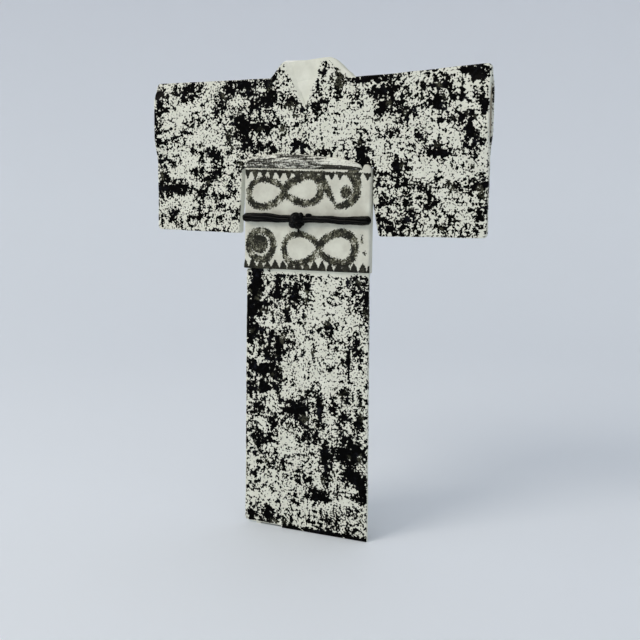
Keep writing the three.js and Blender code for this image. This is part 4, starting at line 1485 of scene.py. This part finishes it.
def photo_camera(lean):
    """The camera at the photograph's viewing angle, set in the upright drawing and leant back with it"""
    around, above, roll = math.radians(25.33), math.radians(6.78), math.radians(0.67)
    target, distance = Vector((13.4, 0.0, 195.0)), 826.0
    back = Vector((math.sin(around) * math.cos(above), -math.cos(around) * math.cos(above), math.sin(above)))
    right = Vector((math.cos(around), math.sin(around), 0.0))
    up = back.cross(right)
    turned_right = right * math.cos(roll) + up * math.sin(roll)
    turned_up = up * math.cos(roll) - right * math.sin(roll)
    spot = Vector(lean_back([target + back * distance], lean)[0])
    data = bpy.data.cameras.new("photo_view")
    data.sensor_width = 36.0
    data.lens = 52.8  # the length in millimetres that fits the photograph's frame
    camera = bpy.data.objects.new("photo_view", data)
    bpy.context.scene.collection.objects.link(camera)
    axes = Matrix((turned_right, turned_up, back)).transposed()
    tilt = Matrix.Rotation(-lean, 3, "X")
    camera.matrix_world = Matrix.Translation(spot) @ (tilt @ axes).to_4x4()
    bpy.context.scene.camera = camera
    return camera


# What the add-on offers


class MakeKimono(bpy.types.Operator):
    """Builds the kimono with its hollow back and open sleeves"""

    bl_idname = "kimono.make_kimono"
    bl_label = "Kimono"

    def execute(self, context):
        sizes, colours = context.scene.kimono_sizes, context.scene.kimono_glazes
        piece = build_kimono(sizes)
        finish_piece(piece, "kimono", kimono_glaze(sizes, colours))
        return {"FINISHED"}


class MakeObi(bpy.types.Operator):
    """Builds the obi with its brushed ornament"""

    bl_idname = "kimono.make_obi"
    bl_label = "Obi"

    def execute(self, context):
        sizes, colours = context.scene.kimono_sizes, context.scene.kimono_glazes
        finish_piece(build_obi(sizes), "obi", obi_glaze(sizes, colours), 50)
        return {"FINISHED"}


class MakeRoll(bpy.types.Operator):
    """Builds the obi-age, the soft roll above the obi"""

    bl_idname = "kimono.make_roll"
    bl_label = "Obi-age"

    def execute(self, context):
        sizes, colours = context.scene.kimono_sizes, context.scene.kimono_glazes
        finish_piece(build_roll(sizes), "obi_age", roll_glaze(sizes, colours), 50)
        return {"FINISHED"}


class MakeCord(bpy.types.Operator):
    """Builds the obi-jime, the knotted cord across the obi"""

    bl_idname = "kimono.make_cord"
    bl_label = "Obi-jime"

    def execute(self, context):
        sizes, colours = context.scene.kimono_sizes, context.scene.kimono_glazes
        glaze = cord_glaze(sizes, colours)
        finish_piece(build_cord(sizes, glaze), "obi_jime", glaze, 60)
        return {"FINISHED"}


class MakeStudio(bpy.types.Operator):
    """Builds the pale sweep, the soft light and the camera"""

    bl_idname = "kimono.make_studio"
    bl_label = "Studio"

    def execute(self, context):
        scene, look = context.scene, context.scene.kimono_studio
        bowl = sweep_bowl(look)
        spot, aim, size = (-1.15, -1.9, 1.75), (0, 0, 0.2), (1.3, 1.3)
        key = area_light("key_light", spot, aim, size, look.key, look.key_tint)
        world = bpy.data.worlds.new("studio_air")
        world.use_nodes = True
        shade = world.node_tree.nodes["Background"]
        shade.inputs["Color"].default_value = colour(look.sky_tint)
        shade.inputs["Strength"].default_value = look.sky
        scene.world = world
        scene.view_settings.view_transform = "Standard"
        photo_camera(scene.kimono_sizes.lean)
        return {"FINISHED"}


class KimonoPanel(bpy.types.Panel):
    """Lists the pieces in the 3D view's sidebar"""

    bl_idname = "VIEW3D_PT_kimono"
    bl_label = "Ceramic kimono"
    bl_space_type = "VIEW_3D"
    bl_region_type = "UI"
    bl_category = "Kimono"

    def draw(self, context):
        for operator in OPERATORS:
            self.layout.operator(operator.bl_idname)
        for group in (context.scene.kimono_sizes, context.scene.kimono_glazes, context.scene.kimono_studio):
            for name in group.bl_rna.properties.keys():
                if name not in ("rna_type", "name"):
                    self.layout.prop(group, name)


OPERATORS = (MakeKimono, MakeObi, MakeRoll, MakeCord, MakeStudio)
CLASSES = (KimonoSizes, GlazeColours, StudioLook) + OPERATORS + (KimonoPanel,)


def register():
    """Registers the classes and their settings"""
    for item in CLASSES:
        bpy.utils.register_class(item)
    bpy.types.Scene.kimono_sizes = bpy.props.PointerProperty(type=KimonoSizes)
    bpy.types.Scene.kimono_glazes = bpy.props.PointerProperty(type=GlazeColours)
    bpy.types.Scene.kimono_studio = bpy.props.PointerProperty(type=StudioLook)


def unregister():
    """Takes the settings and classes away again"""
    del bpy.types.Scene.kimono_studio
    del bpy.types.Scene.kimono_glazes
    del bpy.types.Scene.kimono_sizes
    for item in reversed(CLASSES):
        bpy.utils.unregister_class(item)


def main():
    register()
    bpy.ops.kimono.make_kimono()
    bpy.ops.kimono.make_obi()
    bpy.ops.kimono.make_roll()
    bpy.ops.kimono.make_cord()
    bpy.ops.kimono.make_studio()


if __name__ == "__main__":
    main()
